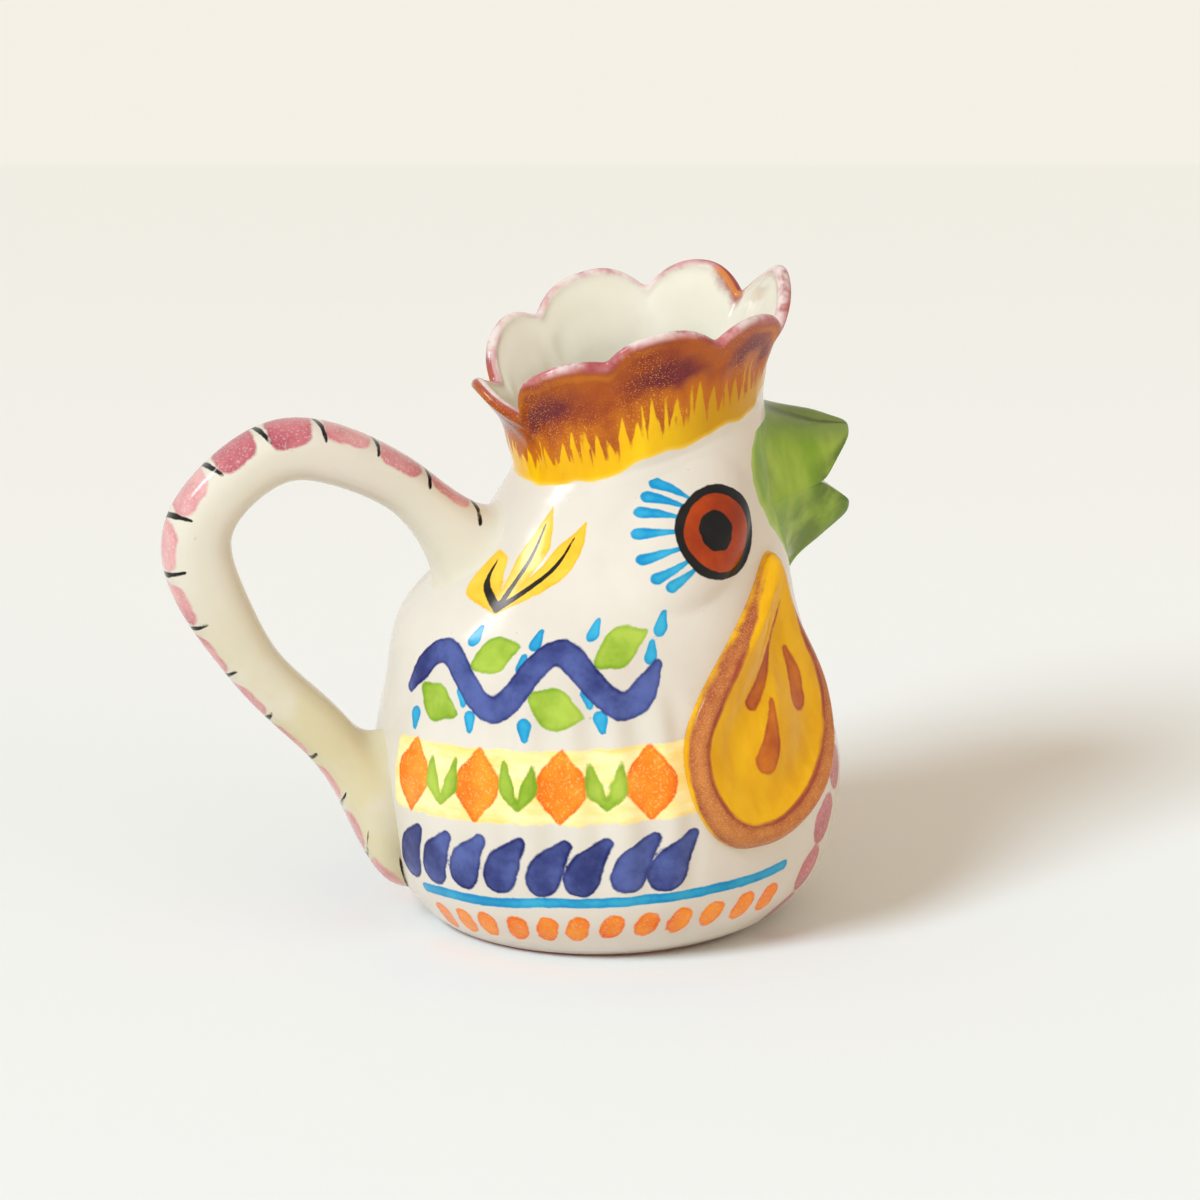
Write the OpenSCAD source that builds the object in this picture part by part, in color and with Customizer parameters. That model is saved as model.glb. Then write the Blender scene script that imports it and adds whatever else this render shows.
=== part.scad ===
// A hen-shaped pitcher in glazed earthenware, luted together from ten pieces of clay.
// +X is the way the beak points, +Y is the bird's left and +Z is up.
// The origin is the middle of the flat underside. All sizes are in millimetres.

/* [Body] */
// Diameter of the flat underside
foot_d = 92; // [84:1:100]
// Thickness of the floor slab
floor_t = 6; // [4:0.5:9]
// Outside diameter where the wall stands on the floor slab
heel_d = 110; // [104:1:118]
// Outside diameter of the belly at its widest
belly_d = 137; // [128:1:148]
// Height of the belly's widest ring
belly_z = 46; // [40:1:52]
// How far the belly sits forward of the foot
belly_forward = 3; // [0:0.5:6]
// Outside diameter of the shoulder
shoulder_d = 116; // [110:1:122]
// Height of the shoulder ring
shoulder_z = 92; // [86:1:98]
// Outside diameter of the head at eye height
head_d = 89; // [82:1:96]
// Height of the head's middle ring
head_z = 124; // [119:1:128]
// How far the head sits forward of the foot
head_forward = 8.5; // [4:0.5:12]
// Outside diameter of the pinched neck under the comb
neck_d = 75; // [70:1:80]
// Height of the middle of the neck ring
neck_z = 143.5; // [140:0.5:148]
// How far the neck ring sits forward of the foot
neck_forward = 12.5; // [8:0.5:16]
// Backward lean of the neck ring and the comb, in degrees
neck_tilt = 16.5; // [10:0.5:20]
// Thickness of the thrown wall
wall_t = 5; // [3.5:0.5:7]
// Slip joint between two luted pieces
slip = 0.25; // [0.2:0.05:0.4]

/* [Comb] */
// Diameter across the comb's lobes at the rim
rim_d = 94; // [86:1:102]
// How far the rim is pushed forward to pour
rim_forward = 5.5; // [0:0.5:10]
// Thickness of the comb at its rim
rim_t = 4; // [3:0.5:5.5]
// How far the rim is pinched in at each notch
rim_pinch = 3; // [0:0.5:5]
// Height of the front pouring lobe above the neck
front_lobe_h = 32.5; // [29:0.5:40]
// Height of the cheek lobes
cheek_lobe_h = 30.5; // [29:0.5:38]
// Height of the crown lobes
crown_lobe_h = 35.5; // [32:0.5:43]
// Height of the ear lobes
ear_lobe_h = 33; // [31:0.5:39]
// Height of the rear lobe
rear_lobe_h = 29; // [25:1:35]
// Height of the notches beside the front lobe
front_notch_h = 20.5; // [15:0.5:26]
// Height of the notches between cheek and crown
cheek_notch_h = 27.5; // [20:0.5:29]
// Height of the notches between crown and ear
crown_notch_h = 29.5; // [22:0.5:31]
// Height of the notches beside the rear lobe
rear_notch_h = 20; // [14:1:24]

/* [Handle] */
// Thickness of the handle at its top, seen from the side
handle_t = 18; // [15:0.5:21]
// Thickness of the handle at its rearmost bend
handle_bend_t = 20; // [17:0.5:23]
// Thickness of the handle towards its two roots
handle_end_t = 16; // [14:0.5:18]
// Width of the handle, seen from behind
handle_w = 21; // [16:0.5:26]
// Height of the top of the handle's centre line
handle_top_z = 144; // [137:1:151]
// Distance of that top behind the foot's middle
handle_top_back = 89.5; // [82:0.5:97]
// Distance of the handle's rearmost centre line behind the foot's middle
handle_reach = 117.5; // [108:0.5:128]
// Height of the rearmost centre line
handle_reach_z = 112; // [104:1:118]
// Height of the ring that carries the upper root
upper_root_z = 120; // [114:1:124]
// Height of the upper root's smear on the shoulder
upper_root_h = 24; // [20:1:28]
// Height of the ring that carries the lower root
lower_root_z = 35; // [32:0.5:38]
// Height of the lower root's smear on the belly
lower_root_h = 46; // [40:1:50]
// Width of both smears
root_w = 27; // [22:1:32]

/* [Beak] */
// Height of the ring that the mouth line follows
mouth_z = 120; // [116:1:123]
// Height of the ring at the beak's brow
brow_z = 141; // [135:1:142]
// Height of the ring at the chin
chin_z = 95; // [90:1:102]
// Half width of the beak's root around the head, in degrees
beak_spread = 42; // [34:1:44]
// Distance of the upper beak's tip in front of the foot's middle
upper_tip_x = 76; // [72:0.5:84]
// Height of the top of the upper tip
upper_tip_z = 143; // [139:0.5:147]
// Distance of the lower beak's tip in front of the foot's middle
lower_tip_x = 77; // [72:0.5:82]
// Height of the top of the lower tip
lower_tip_z = 121; // [118:0.5:123]
// Width of the flat ridge on top of the beak
ridge_w = 9; // [6:0.5:11]
// Width of the beak where the mouth opens
gape_w = 21; // [17:0.5:26]
// Depth of the open mouth behind the upper tip
gape_depth = 10; // [6:0.5:12]

/* [Wattles] */
// Height of the ring at each wattle's widest
wattle_z = 67; // [63:1:72]
// Greatest width of a wattle
wattle_w = 60; // [50:1:64]
// Width of its blunt top
wattle_tip_w = 8; // [5:0.5:11]
// Height of a wattle above its widest line
wattle_rise = 43; // [36:1:45]
// Drop of a wattle below its widest line
wattle_drop = 32; // [26:1:36]
// Angle of each wattle round from the beak
wattle_angle = 56.5; // [53:0.5:60]
// Thickness of a wattle's rounded rim
wattle_rim_t = 5.4; // [4:0.1:6.5]
// Thickness of its dished middle
wattle_dish_t = 3; // [2:0.1:3.4]

/* [Eyes] */
// Width of the boss under each eye
eye_pad_w = 47; // [42:1:49]
// Height of the boss under each eye
eye_pad_h = 39; // [32:1:41]
// Height of the ring at the middle of each eye
eye_z = 121; // [117:1:122]
// Angle of each eye round from the beak
eye_angle = 79; // [77:1:84]
// How far the boss stands out
eye_pad_t = 4.5; // [3:0.25:6]

/* [Hidden] */
glaze = [0.93, 0.91, 0.86];
clay = [0.72, 0.42, 0.28];
gold = [0.92, 0.68, 0.08];
beak_green = [0.47, 0.62, 0.24];
// Number of columns around the wall and of rings up it
wall_columns = 60;
wall_rings = 20;
// Rings up the edge of the floor
floor_rings = 6;
// Columns on each lobe of the comb and rings up it
lobe_columns = 10;
comb_rings = 7;
// Edge angle of each notch of the comb, from the beak round to the handle
notch_angles = [34, 67, 110, 149];
lobe_heights = [front_lobe_h, cheek_lobe_h, crown_lobe_h, ear_lobe_h, rear_lobe_h];
notch_heights = [front_notch_h, cheek_notch_h, crown_notch_h, rear_notch_h];
// Roundness of each lobe: the front and rear ones are drawn out to a point
lobe_rounds = [1.4, 2.4, 2.4, 2.4, 1.4];
// Skew of each lobe: over one its peak lies towards the back, under one towards the front
lobe_skews = [1, 0.85, 1.5, 1.25, 1];

// The wall's rings, from the foot up: forward offset, height, radius and lean of each
rows = [
    [0, 0, foot_d / 2, 0],
    [belly_forward * 0.7, floor_t, heel_d / 2, 0],
    [belly_forward, mix(floor_t, belly_z, 0.35), mix(heel_d, belly_d, 0.7) / 2, 0],
    [belly_forward, belly_z, belly_d / 2, 0],
    [belly_forward / 2, mix(belly_z, shoulder_z, 0.56), mix(belly_d, shoulder_d, 0.5) / 2, 0],
    [0, shoulder_z, shoulder_d / 2, 2],
    [head_forward * 0.4, mix(shoulder_z, head_z, 0.5), mix(shoulder_d, head_d, 0.48) / 2, neck_tilt * 0.4],
    [head_forward, head_z, head_d / 2, neck_tilt * 0.7],
    [neck_forward, neck_z, neck_d / 2, neck_tilt],
];
neck_row = len(rows) - 1;

function mix(a, b, u) = a + (b - a) * u;
function ease(u) = u * u * (3 - 2 * u);

// A smooth curve through a list of points, one unit of u from each point to the next
function through(p, u) =
    let (i = max(0, min(floor(u), len(p) - 2)), f = u - i)
    let (b = p[i], c = p[i + 1])
    let (a = i > 0 ? p[i - 1] : 2 * b - c, d = i < len(p) - 2 ? p[i + 2] : 2 * c - b)
    b + (c - a) * f / 2 + (2 * a - 5 * b + 4 * c - d) * f * f / 2
      + (3 * b - a - 3 * c + d) * f * f * f / 2;

// Where on that curve of rings a ring of a given height lies
function row_of(z, low = 0, high = neck_row, steps = 20) =
    let (mid = (low + high) / 2)
    steps == 0 ? mid
    : through(rows, mid)[1] < z ? row_of(z, mid, high, steps - 1)
    : row_of(z, low, mid, steps - 1);

// A point on the outside of the wall, or off it by a distance
function skin(u, angle, off) =
    let (w = through(rows, u), r = w[2] + off)
    [w[0] + r * cos(angle) * cos(w[3]), r * sin(angle), w[1] + r * cos(angle) * sin(w[3])];

// A point over the wall beside a middle: a is the way round and b the way up
function patch(z, angle, a, b, off) =
    let (u = row_of(z + b), r = through(rows, u)[2])
    skin(u, -angle + a / r * 180 / PI, off);

// Closed skin over a loop of loops
module ring_skin(loops) {
    n = len(loops);
    m = len(loops[0]);
    polyhedron(
        points = [for (loop = loops) each loop],
        faces = [
            for (i = [0 : n - 1], j = [0 : m - 1])
            let (k = (i + 1) % n, l = (j + 1) % m)
            each [[i * m + j, k * m + l, i * m + l], [i * m + j, k * m + j, k * m + l]]
        ],
        convexity = 6
    );
}

// Closed skin over a row of loops with a point at each end
module pod_skin(first, loops, last) {
    n = len(loops);
    m = len(loops[0]);
    end = n * m + 1;
    polyhedron(
        points = [first, for (loop = loops) each loop, last],
        faces = [
            for (j = [0 : m - 1])
            let (l = (j + 1) % m)
            each [[0, 1 + j, 1 + l], [end, end - m + l, end - m + j]],
            for (i = [0 : n - 2], j = [0 : m - 1])
            let (l = (j + 1) % m, p = 1 + i * m, q = p + m)
            each [[p + j, q + l, p + l], [p + j, q + j, q + l]]
        ],
        convexity = 6
    );
}

// A ring of points on the wall, or off it
function wall_loop(u, off, up) =
    [for (c = [0 : wall_columns - 1]) skin(u, 360 * c / wall_columns, off) + [0, 0, up]];

// The flat floor, whose edge follows the foot of the wall
module floor_slab() {
    color(clay)
    pod_skin(
        [0, 0, 0],
        [
            for (i = [0 : floor_rings - 1]) wall_loop(i / floor_rings, 0, 0),
            wall_loop(1, -slip, -slip)
        ],
        [rows[1][0], 0, floor_t - slip]
    );
}

// The hollow wall, from the floor to the neck
module body_wall() {
    color(glaze)
    ring_skin([
        for (c = [0 : wall_columns - 1])
        let (angle = 360 * c / wall_columns)
        [
            for (i = [0 : wall_rings]) skin(mix(1, neck_row, i / wall_rings), angle, -wall_t),
            for (i = [wall_rings : -1 : 0]) skin(mix(1, neck_row, i / wall_rings), angle, 0)
        ]
    ]);
}

// Edges of a lobe of the comb, counted from the front one
function lobe_from(k) = k == 0 ? -notch_angles[0] : notch_angles[k - 1];
function lobe_to(k) = k == 4 ? 360 - notch_angles[3] : notch_angles[k];
function from_h(k) = notch_heights[max(k - 1, 0)];
function to_h(k) = notch_heights[min(k, 3)];

// Height of the rim at a share of the way across a lobe
function rim_h(k, u) =
    let (foot_line = mix(from_h(k), to_h(k), u), mid = (from_h(k) + to_h(k)) / 2)
    let (across = 2 * pow(u, lobe_skews[k]) - 1)
    foot_line + (lobe_heights[k] - mid) * (1 - pow(abs(across), lobe_rounds[k]));

// A point on the comb: v is the share of the rim's height and in the depth into the wall
function comb_point(k, u, side, v, in, up) =
    let (angle = side * mix(lobe_from(k), lobe_to(k), u))
    let (rim_r = rim_d / 2 - rim_pinch * pow(abs(2 * u - 1), 3))
    let (r = mix(neck_d / 2, rim_r, pow(v, 1.5)) - in)
    let (x = r * cos(angle) + rim_forward * v, h = mix(slip, rim_h(k, u), v) + up)
    [neck_forward + x * cos(neck_tilt) - h * sin(neck_tilt), r * sin(angle),
     neck_z + x * sin(neck_tilt) + h * cos(neck_tilt)];

// One upright slice of the comb, up its inside, over the lip and down its outside
function comb_slice(k, u, side) = [
    for (i = [0 : comb_rings])
        let (v = i / comb_rings)
        comb_point(k, u, side, v, mix(wall_t, rim_t, v), 0),
    for (a = [45 : 45 : 135])
        comb_point(k, u, side, 1, rim_t / 2 * (1 + cos(a)), rim_t / 2 * sin(a)),
    for (i = [comb_rings : -1 : 0])
        comb_point(k, u, side, i / comb_rings, 0, 0)
];

// The ruffled comb, which is the mouth of the jug
module comb_collar() {
    color(gold)
    ring_skin([
        for (i = [0 : lobe_columns - 1]) comb_slice(0, i / lobe_columns, 1),
        for (k = [1 : 4], i = [0 : lobe_columns - 1]) comb_slice(k, i / lobe_columns, 1),
        for (k = [3 : -1 : 1], i = [0 : lobe_columns - 1]) comb_slice(k, 1 - i / lobe_columns, -1)
    ]);
}

// Middles of the handle's two smears, on the back of the wall
upper_row = row_of(upper_root_z);
lower_row = row_of(lower_root_z);
upper_seat = skin(upper_row, 180, slip);
lower_seat = skin(lower_row, 180, slip);

// The handle's centre line
handle_line = [
    upper_seat,
    [mix(upper_seat[0], -handle_top_back, 0.42), 0, mix(upper_seat[2], handle_top_z, 0.67)],
    [-handle_top_back, 0, handle_top_z],
    [-mix(handle_top_back, handle_reach, 0.79), 0, mix(handle_reach_z, handle_top_z, 0.6)],
    [-handle_reach, 0, handle_reach_z],
    [mix(-handle_reach, lower_seat[0], 0.29), 0, mix(handle_reach_z, lower_seat[2], 0.39)],
    [mix(-handle_reach, lower_seat[0], 0.72), 0, mix(handle_reach_z, lower_seat[2], 0.71)],
    lower_seat,
];

// Its thickness at each of those points
handle_ts = [
    handle_end_t, handle_end_t, handle_t, handle_t,
    handle_bend_t, mix(handle_bend_t, handle_end_t, 0.8), handle_end_t, handle_end_t
];

// Points around each ring of the handle
handle_sides = 20;
handle_from = 0.75;
handle_to = 6;
handle_rings = 24;
// How full each root stands before it comes down on the wall
upper_full = 0.12;
lower_full = 0.25;
// How far each root runs on along the handle first
knee_share = 0.45;
upper_steps = 4;
lower_steps = 6;

function handle_way(u) =
    let (d = through(handle_line, u + 0.01) - through(handle_line, u - 0.01))
    d / norm(d);

// A point on the drawn part of the handle
function handle_point(u, a) =
    let (d = handle_way(u), out = [d[2], 0, -d[0]])
    through(handle_line, u) + out * cos(a) * through(handle_ts, u) / 2 + [0, sin(a) * handle_w / 2, 0];

// A point on or over a smear, as a share of the way from its middle to its edge
function smear(row_z, height, up, a, share, off = slip) =
    let (u = row_of(row_z + up * cos(a) * share * height / 2))
    let (r = through(rows, u)[2])
    skin(u, 180 - share * sin(a) * root_w / 2 / r * 180 / PI, off);

// A point between the drawn part and a smear: it leaves along the handle and comes down on the wall
function flare(from, knee, over, edge, u) =
    from * pow(1 - u, 3) + knee * 3 * u * pow(1 - u, 2) + over * 3 * u * u * (1 - u) + edge * pow(u, 3);

function handle_loop(u) = [for (j = [0 : handle_sides - 1]) handle_point(u, 360 * j / handle_sides)];
function smear_loop(row_z, height, up, share) =
    [for (j = [0 : handle_sides - 1]) smear(row_z, height, up, 360 * j / handle_sides, share)];
function flare_loop(u_line, way, row_z, height, up, full, u) = [
    for (j = [0 : handle_sides - 1])
    let (a = 360 * j / handle_sides, from = handle_point(u_line, a), edge = smear(row_z, height, up, a, 1))
    let (reach = norm(edge - from), over = smear(row_z, height, up, a, 1, slip + full * reach))
    flare(from, from + way * reach * knee_share, over, edge, u)
];
function upper_flare(u) =
    flare_loop(handle_from, -handle_way(handle_from), upper_root_z, upper_root_h, 1, upper_full, u);
function lower_flare(u) =
    flare_loop(handle_to, handle_way(handle_to), lower_root_z, lower_root_h, -1, lower_full, u);

// The pulled handle, smeared onto the shoulder and the belly
module pulled_handle() {
    color(glaze)
    pod_skin(
        upper_seat,
        [
            for (s = [1 : 3]) smear_loop(upper_root_z, upper_root_h, 1, s / 3),
            for (i = [upper_steps : -1 : 1]) upper_flare(i / (upper_steps + 1)),
            for (i = [0 : handle_rings]) handle_loop(mix(handle_from, handle_to, i / handle_rings)),
            for (i = [1 : lower_steps]) lower_flare(i / (lower_steps + 1)),
            for (s = [4 : -1 : 1]) smear_loop(lower_root_z, lower_root_h, -1, s / 4)
        ],
        lower_seat
    );
}

// The beak's grid of points: across it and up it
beak_across = 8;
beak_up = 6;
beak_steps = 5;
beak_edge = [
    for (i = [0 : beak_across - 1]) [i, 0],
    for (j = [0 : beak_up - 1]) [beak_across, j],
    for (i = [beak_across : -1 : 1]) [i, beak_up],
    for (j = [beak_up : -1 : 1]) [0, j]
];

// Closed skin over a grid seated on the wall, the loops in front of it and a tip
module beak_skin(seat, loops, tip) {
    w = beak_across + 1;
    m = len(beak_edge);
    base = w * (beak_up + 1);
    n = len(loops);
    end = base + n * m;
    edge = [for (e = beak_edge) e[1] * w + e[0]];
    polyhedron(
        points = [for (row = seat) each row, for (loop = loops) each loop, tip],
        faces = [
            for (i = [0 : beak_across - 1], j = [0 : beak_up - 1])
            let (p = j * w + i)
            each [[p, p + 1, p + w + 1], [p, p + w + 1, p + w]],
            for (j = [0 : m - 1])
            let (l = (j + 1) % m)
            each [[edge[j], base + l, edge[l]], [edge[j], base + j, base + l]],
            for (i = [0 : n - 2], j = [0 : m - 1])
            let (l = (j + 1) % m, p = base + i * m, q = p + m)
            each [[p + j, q + l, p + l], [p + j, q + j, q + l]],
            for (j = [0 : m - 1])
            let (l = (j + 1) % m)
            [end, end - m + l, end - m + j]
        ],
        convexity = 6
    );
}

// The mouth line, at the front of the head
mouth_front = skin(row_of(mouth_z), 0, 0);
gape_x = upper_tip_x - gape_depth;

// Half angle of the upper root at a share of its height, and of the lower one
function upper_spread(v) =
    max(beak_spread * pow(1 - v * v, 0.35), ridge_w / neck_d * 180 / PI);
function lower_spread(v) = max(beak_spread * v, ridge_w / 2 / shoulder_d * 2 * 180 / PI);

// Points of the roots on the head, from one cheek to the other
function upper_root(s, v) =
    skin(row_of(mix(mouth_z, brow_z, v) + (v == 0 ? slip : 0)), s * upper_spread(v), slip);
function lower_root(s, v) =
    skin(row_of(mix(chin_z, mouth_z, v)), s * lower_spread(v), slip);

// Points of the beak where the mouth opens, and at its tips
function upper_gape(s, v) =
    [gape_x - 1.5 * v, s * mix(gape_w, ridge_w, v) / 2,
     mix(mouth_front[2] + slip, upper_tip_z + 4, v)];
function upper_tip(s, v) =
    [upper_tip_x - 1 - 1.5 * v * v, s * ridge_w / 2 * 0.8, mix(upper_tip_z - 5, upper_tip_z, v)];
function lower_gape(s, v) =
    [gape_x - 1, s * mix(ridge_w, gape_w, v) / 2, mix(mouth_front[2] - 20, mouth_front[2], v)];
function lower_tip(s, v) =
    [lower_tip_x - 1, s * ridge_w / 2 * 0.7, mix(lower_tip_z - 5, lower_tip_z, v)];

function beak_share(e) = [2 * e[0] / beak_across - 1, e[1] / beak_up];

// Between a root and the mouth's opening, hollowed like a flare at the face
side_hollow = 1.5;
ridge_hollow = 1.2;
function beak_flare(root, gape, u) =
    let (side = 1 - pow(1 - u, side_hollow), ridge = 1 - pow(1 - u, ridge_hollow))
    [mix(root[0], gape[0], u), mix(root[1], gape[1], side), mix(root[2], gape[2], ridge)];

// The upper beak, flat along its ridge
module upper_beak() {
    color(beak_green)
    beak_skin(
        [
            for (j = [0 : beak_up])
                [for (i = [0 : beak_across]) upper_root(2 * i / beak_across - 1, j / beak_up)]
        ],
        [
            for (k = [1 : beak_steps])
                [for (e = beak_edge) let (q = beak_share(e), s = q[0], v = q[1])
                    beak_flare(upper_root(s, v), upper_gape(s, v), k / beak_steps)],
            for (k = [1 : 3])
                [for (e = beak_edge) let (q = beak_share(e), s = q[0], v = q[1])
                    mix(upper_gape(s, v), upper_tip(s, v), k / 3)]
        ],
        [upper_tip_x, 0, upper_tip_z - 3]
    );
}

// The lower beak, running back to the chin
module lower_beak() {
    color(beak_green)
    beak_skin(
        [
            for (j = [0 : beak_up])
                [for (i = [0 : beak_across]) lower_root(2 * i / beak_across - 1, j / beak_up)]
        ],
        [
            for (k = [1 : beak_steps])
                [for (e = beak_edge) let (q = beak_share(e), s = q[0], v = q[1])
                    beak_flare(lower_root(s, v), lower_gape(s, v), k / beak_steps)],
            for (k = [1 : 3])
                [for (e = beak_edge) let (q = beak_share(e), s = q[0], v = q[1])
                    mix(lower_gape(s, v), lower_tip(s, v), k / 3)]
        ],
        [lower_tip_x, 0, lower_tip_z - 2.5]
    );
}

// Points around a wattle or an eye pad, and its rings
pad_sides = 28;

// The teardrop leans forward as it rises, and a little less towards its blunt top
wattle_lean = 0.36;
wattle_curl = 0.0012;
// How fast it narrows above and below its widest line, and how square its top is
rise_taper = 3.8;
drop_taper = 1.3;
tip_square = 24;
// Shares of the way out at which the dish ends and the rim is at its highest
dish_to = 0.5;
crest_at = 0.85;
wattle_edge_t = 1;

// The teardrop's edge
function teardrop(a) =
    let (rise = max(sin(a), 0), b = sin(a) > 0 ? wattle_rise * rise : wattle_drop * sin(a))
    let (blunt = wattle_tip_w * sqrt(1 - pow(rise, tip_square)))
    let (width = mix(blunt, wattle_w, pow(abs(cos(a)), rise > 0 ? rise_taper : drop_taper)))
    [sign(cos(a)) * width / 2 + (wattle_lean - wattle_curl * max(b, 0)) * b, b];

// Thickness of the wattle at a share of the way out to its edge
function wattle_off(s) =
    s < dish_to ? wattle_dish_t
    : s < crest_at ? mix(wattle_dish_t, wattle_rim_t, ease((s - dish_to) / (crest_at - dish_to)))
    : mix(wattle_edge_t, wattle_rim_t, sqrt(1 - pow((s - crest_at) / (1 - crest_at), 2)));

function wattle_loop(s, off) = [
    for (j = [0 : pad_sides - 1])
    let (p = teardrop(360 * j / pad_sides) * s)
    patch(wattle_z, wattle_angle, p[0], p[1], slip + off)
];

// One wattle: the dished teardrop that hangs beside the beak
module wattle() {
    color(gold)
    pod_skin(
        patch(wattle_z, wattle_angle, 0, 0, slip),
        [
            for (s = [0.2 : 0.2 : 1]) wattle_loop(s, 0),
            for (s = [1, 0.97, 0.92, 0.85, 0.7, 0.5, 0.25]) wattle_loop(s, wattle_off(s))
        ],
        patch(wattle_z, wattle_angle, 0, 0, slip + wattle_off(0))
    );
}

module right_wattle() {
    wattle();
}

module left_wattle() {
    mirror([0, 1, 0]) wattle();
}

function eye_loop(s, off) = [
    for (j = [0 : pad_sides - 1])
    let (a = 360 * j / pad_sides)
    patch(eye_z, eye_angle, s * cos(a) * eye_pad_w / 2, s * sin(a) * eye_pad_h / 2, slip + off)
];

// Height of the boss at a share of the way out to its edge
eye_edge_t = 0.6;
function eye_off(s) = mix(eye_edge_t, eye_pad_t, ease(1 - s));

// One soft boss under an eye
module eye_pad() {
    color(glaze)
    pod_skin(
        patch(eye_z, eye_angle, 0, 0, slip),
        [
            for (s = [0.25 : 0.25 : 1]) eye_loop(s, 0),
            for (s = [1, 0.85, 0.7, 0.5, 0.25]) eye_loop(s, eye_off(s))
        ],
        patch(eye_z, eye_angle, 0, 0, slip + eye_off(0))
    );
}

module right_eye_pad() {
    eye_pad();
}

module left_eye_pad() {
    mirror([0, 1, 0]) eye_pad();
}

floor_slab();
body_wall();
comb_collar();
pulled_handle();
upper_beak();
lower_beak();
right_wattle();
left_wattle();
right_eye_pad();
left_eye_pad();
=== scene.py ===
import bmesh
import bpy
import numpy as np
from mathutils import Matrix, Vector


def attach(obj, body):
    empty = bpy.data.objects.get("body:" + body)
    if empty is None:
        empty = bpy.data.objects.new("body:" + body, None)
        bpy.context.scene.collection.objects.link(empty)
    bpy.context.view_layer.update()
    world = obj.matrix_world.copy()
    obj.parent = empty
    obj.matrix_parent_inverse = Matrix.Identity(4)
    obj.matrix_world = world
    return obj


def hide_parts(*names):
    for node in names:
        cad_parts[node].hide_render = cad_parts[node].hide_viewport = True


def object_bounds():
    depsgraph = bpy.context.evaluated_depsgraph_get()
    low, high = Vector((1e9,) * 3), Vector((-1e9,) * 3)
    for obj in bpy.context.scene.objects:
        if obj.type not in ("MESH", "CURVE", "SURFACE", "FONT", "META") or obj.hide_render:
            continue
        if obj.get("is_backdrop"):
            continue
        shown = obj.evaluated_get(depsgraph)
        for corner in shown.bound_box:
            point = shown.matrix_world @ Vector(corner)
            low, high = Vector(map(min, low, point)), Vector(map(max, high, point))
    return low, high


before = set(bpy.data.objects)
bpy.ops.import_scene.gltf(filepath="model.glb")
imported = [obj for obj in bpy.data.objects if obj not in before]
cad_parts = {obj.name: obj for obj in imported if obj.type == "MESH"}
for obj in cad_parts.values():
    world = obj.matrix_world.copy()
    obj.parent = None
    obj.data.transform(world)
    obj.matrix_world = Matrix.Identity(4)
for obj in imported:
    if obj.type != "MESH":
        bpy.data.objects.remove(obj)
cad_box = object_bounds()

# Sizes, in millimetres and degrees, as in the part's source
MM = 0.001
FOOT_D, FLOOR_T, HEEL_D, WALL_T, SLIP = 92, 6, 110, 5, 0.25
BELLY_D, BELLY_Z, BELLY_FORWARD = 137, 46, 3
SHOULDER_D, SHOULDER_Z = 116, 92
HEAD_D, HEAD_Z, HEAD_FORWARD = 89, 124, 8.5
NECK_D, NECK_Z, NECK_FORWARD, NECK_TILT = 75, 143.5, 12.5, 16.5
RIM_D, RIM_FORWARD, RIM_T, RIM_PINCH = 94, 5.5, 4, 3
HANDLE_T, HANDLE_BEND_T, HANDLE_END_T, HANDLE_W = 18, 20, 16, 21
HANDLE_TOP_Z, HANDLE_TOP_BACK, HANDLE_REACH, HANDLE_REACH_Z = 144, 89.5, 117.5, 112
UPPER_ROOT_Z, UPPER_ROOT_H, LOWER_ROOT_Z, LOWER_ROOT_H, ROOT_W = 120, 24, 35, 46, 27
MOUTH_Z, BROW_Z, CHIN_Z, BEAK_SPREAD = 120, 141, 95, 42
UPPER_TIP_X, UPPER_TIP_Z, LOWER_TIP_X, LOWER_TIP_Z = 76, 143, 77, 121
RIDGE_W, GAPE_W, GAPE_DEPTH = 9, 21, 10
WATTLE_Z, WATTLE_W, WATTLE_TIP_W, WATTLE_RISE, WATTLE_DROP = 67, 60, 8, 43, 32
WATTLE_ANGLE, WATTLE_RIM_T, WATTLE_LEAN, WATTLE_CURL = 56.5, 5.4, 0.36, 0.0012
EYE_PAD_W, EYE_PAD_H, EYE_PAD_Z, EYE_PAD_ANGLE, EYE_PAD_T = 47, 39, 121, 79, 4.5
# Depth in the wall of the hidden ends of the handle, the eye bosses, the wattles and the beak
ROOT_TUCK, PAD_TUCK, WATTLE_TUCK, BEAK_TUCK = 1.5, 1.2, 1.4, 1.8


# Curves and surfaces, in millimetres
def mix(a, b, u):
    return a + (b - a) * u


def ease(u):
    u = np.clip(u, 0, 1)
    return u * u * (3 - 2 * u)


def through(points, u):
    """A smooth curve through a list of points, one unit of u from each point to the next."""
    points = np.asarray(points, float)
    u = np.asarray(u, float)
    padded = np.vstack([2 * points[0] - points[1], points, 2 * points[-1] - points[-2]])
    i = np.clip(np.floor(u).astype(int), 0, len(points) - 2)
    f = (u - i)[..., None]
    a, b, c, d = padded[i], padded[i + 1], padded[i + 2], padded[i + 3]
    bend = (2 * a - 5 * b + 4 * c - d) * f**2 + (3 * b - a - 3 * c + d) * f**3
    return b + (c - a) * f / 2 + bend / 2


def cubic(a, b, c, d, t):
    """A curve from a to d that leaves towards b and comes in from c."""
    return (1 - t) ** 3 * a + 3 * t * (1 - t) ** 2 * b + 3 * t**2 * (1 - t) * c + t**3 * d


def soften(values, times):
    """Values round a closed line, each drawn towards its neighbours."""
    for _ in range(times):
        values = (np.roll(values, 1, 0) + 2 * values + np.roll(values, -1, 0)) / 4
    return values


def soften_rings(rings, first, last, times):
    """Draws each ring from the first to the last of a stretch towards its neighbours."""
    for _ in range(times):
        beside = rings[first - 1:last] + rings[first + 1:last + 2]
        rings[first:last + 1] = (beside + 2 * rings[first:last + 1]) / 4


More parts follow.
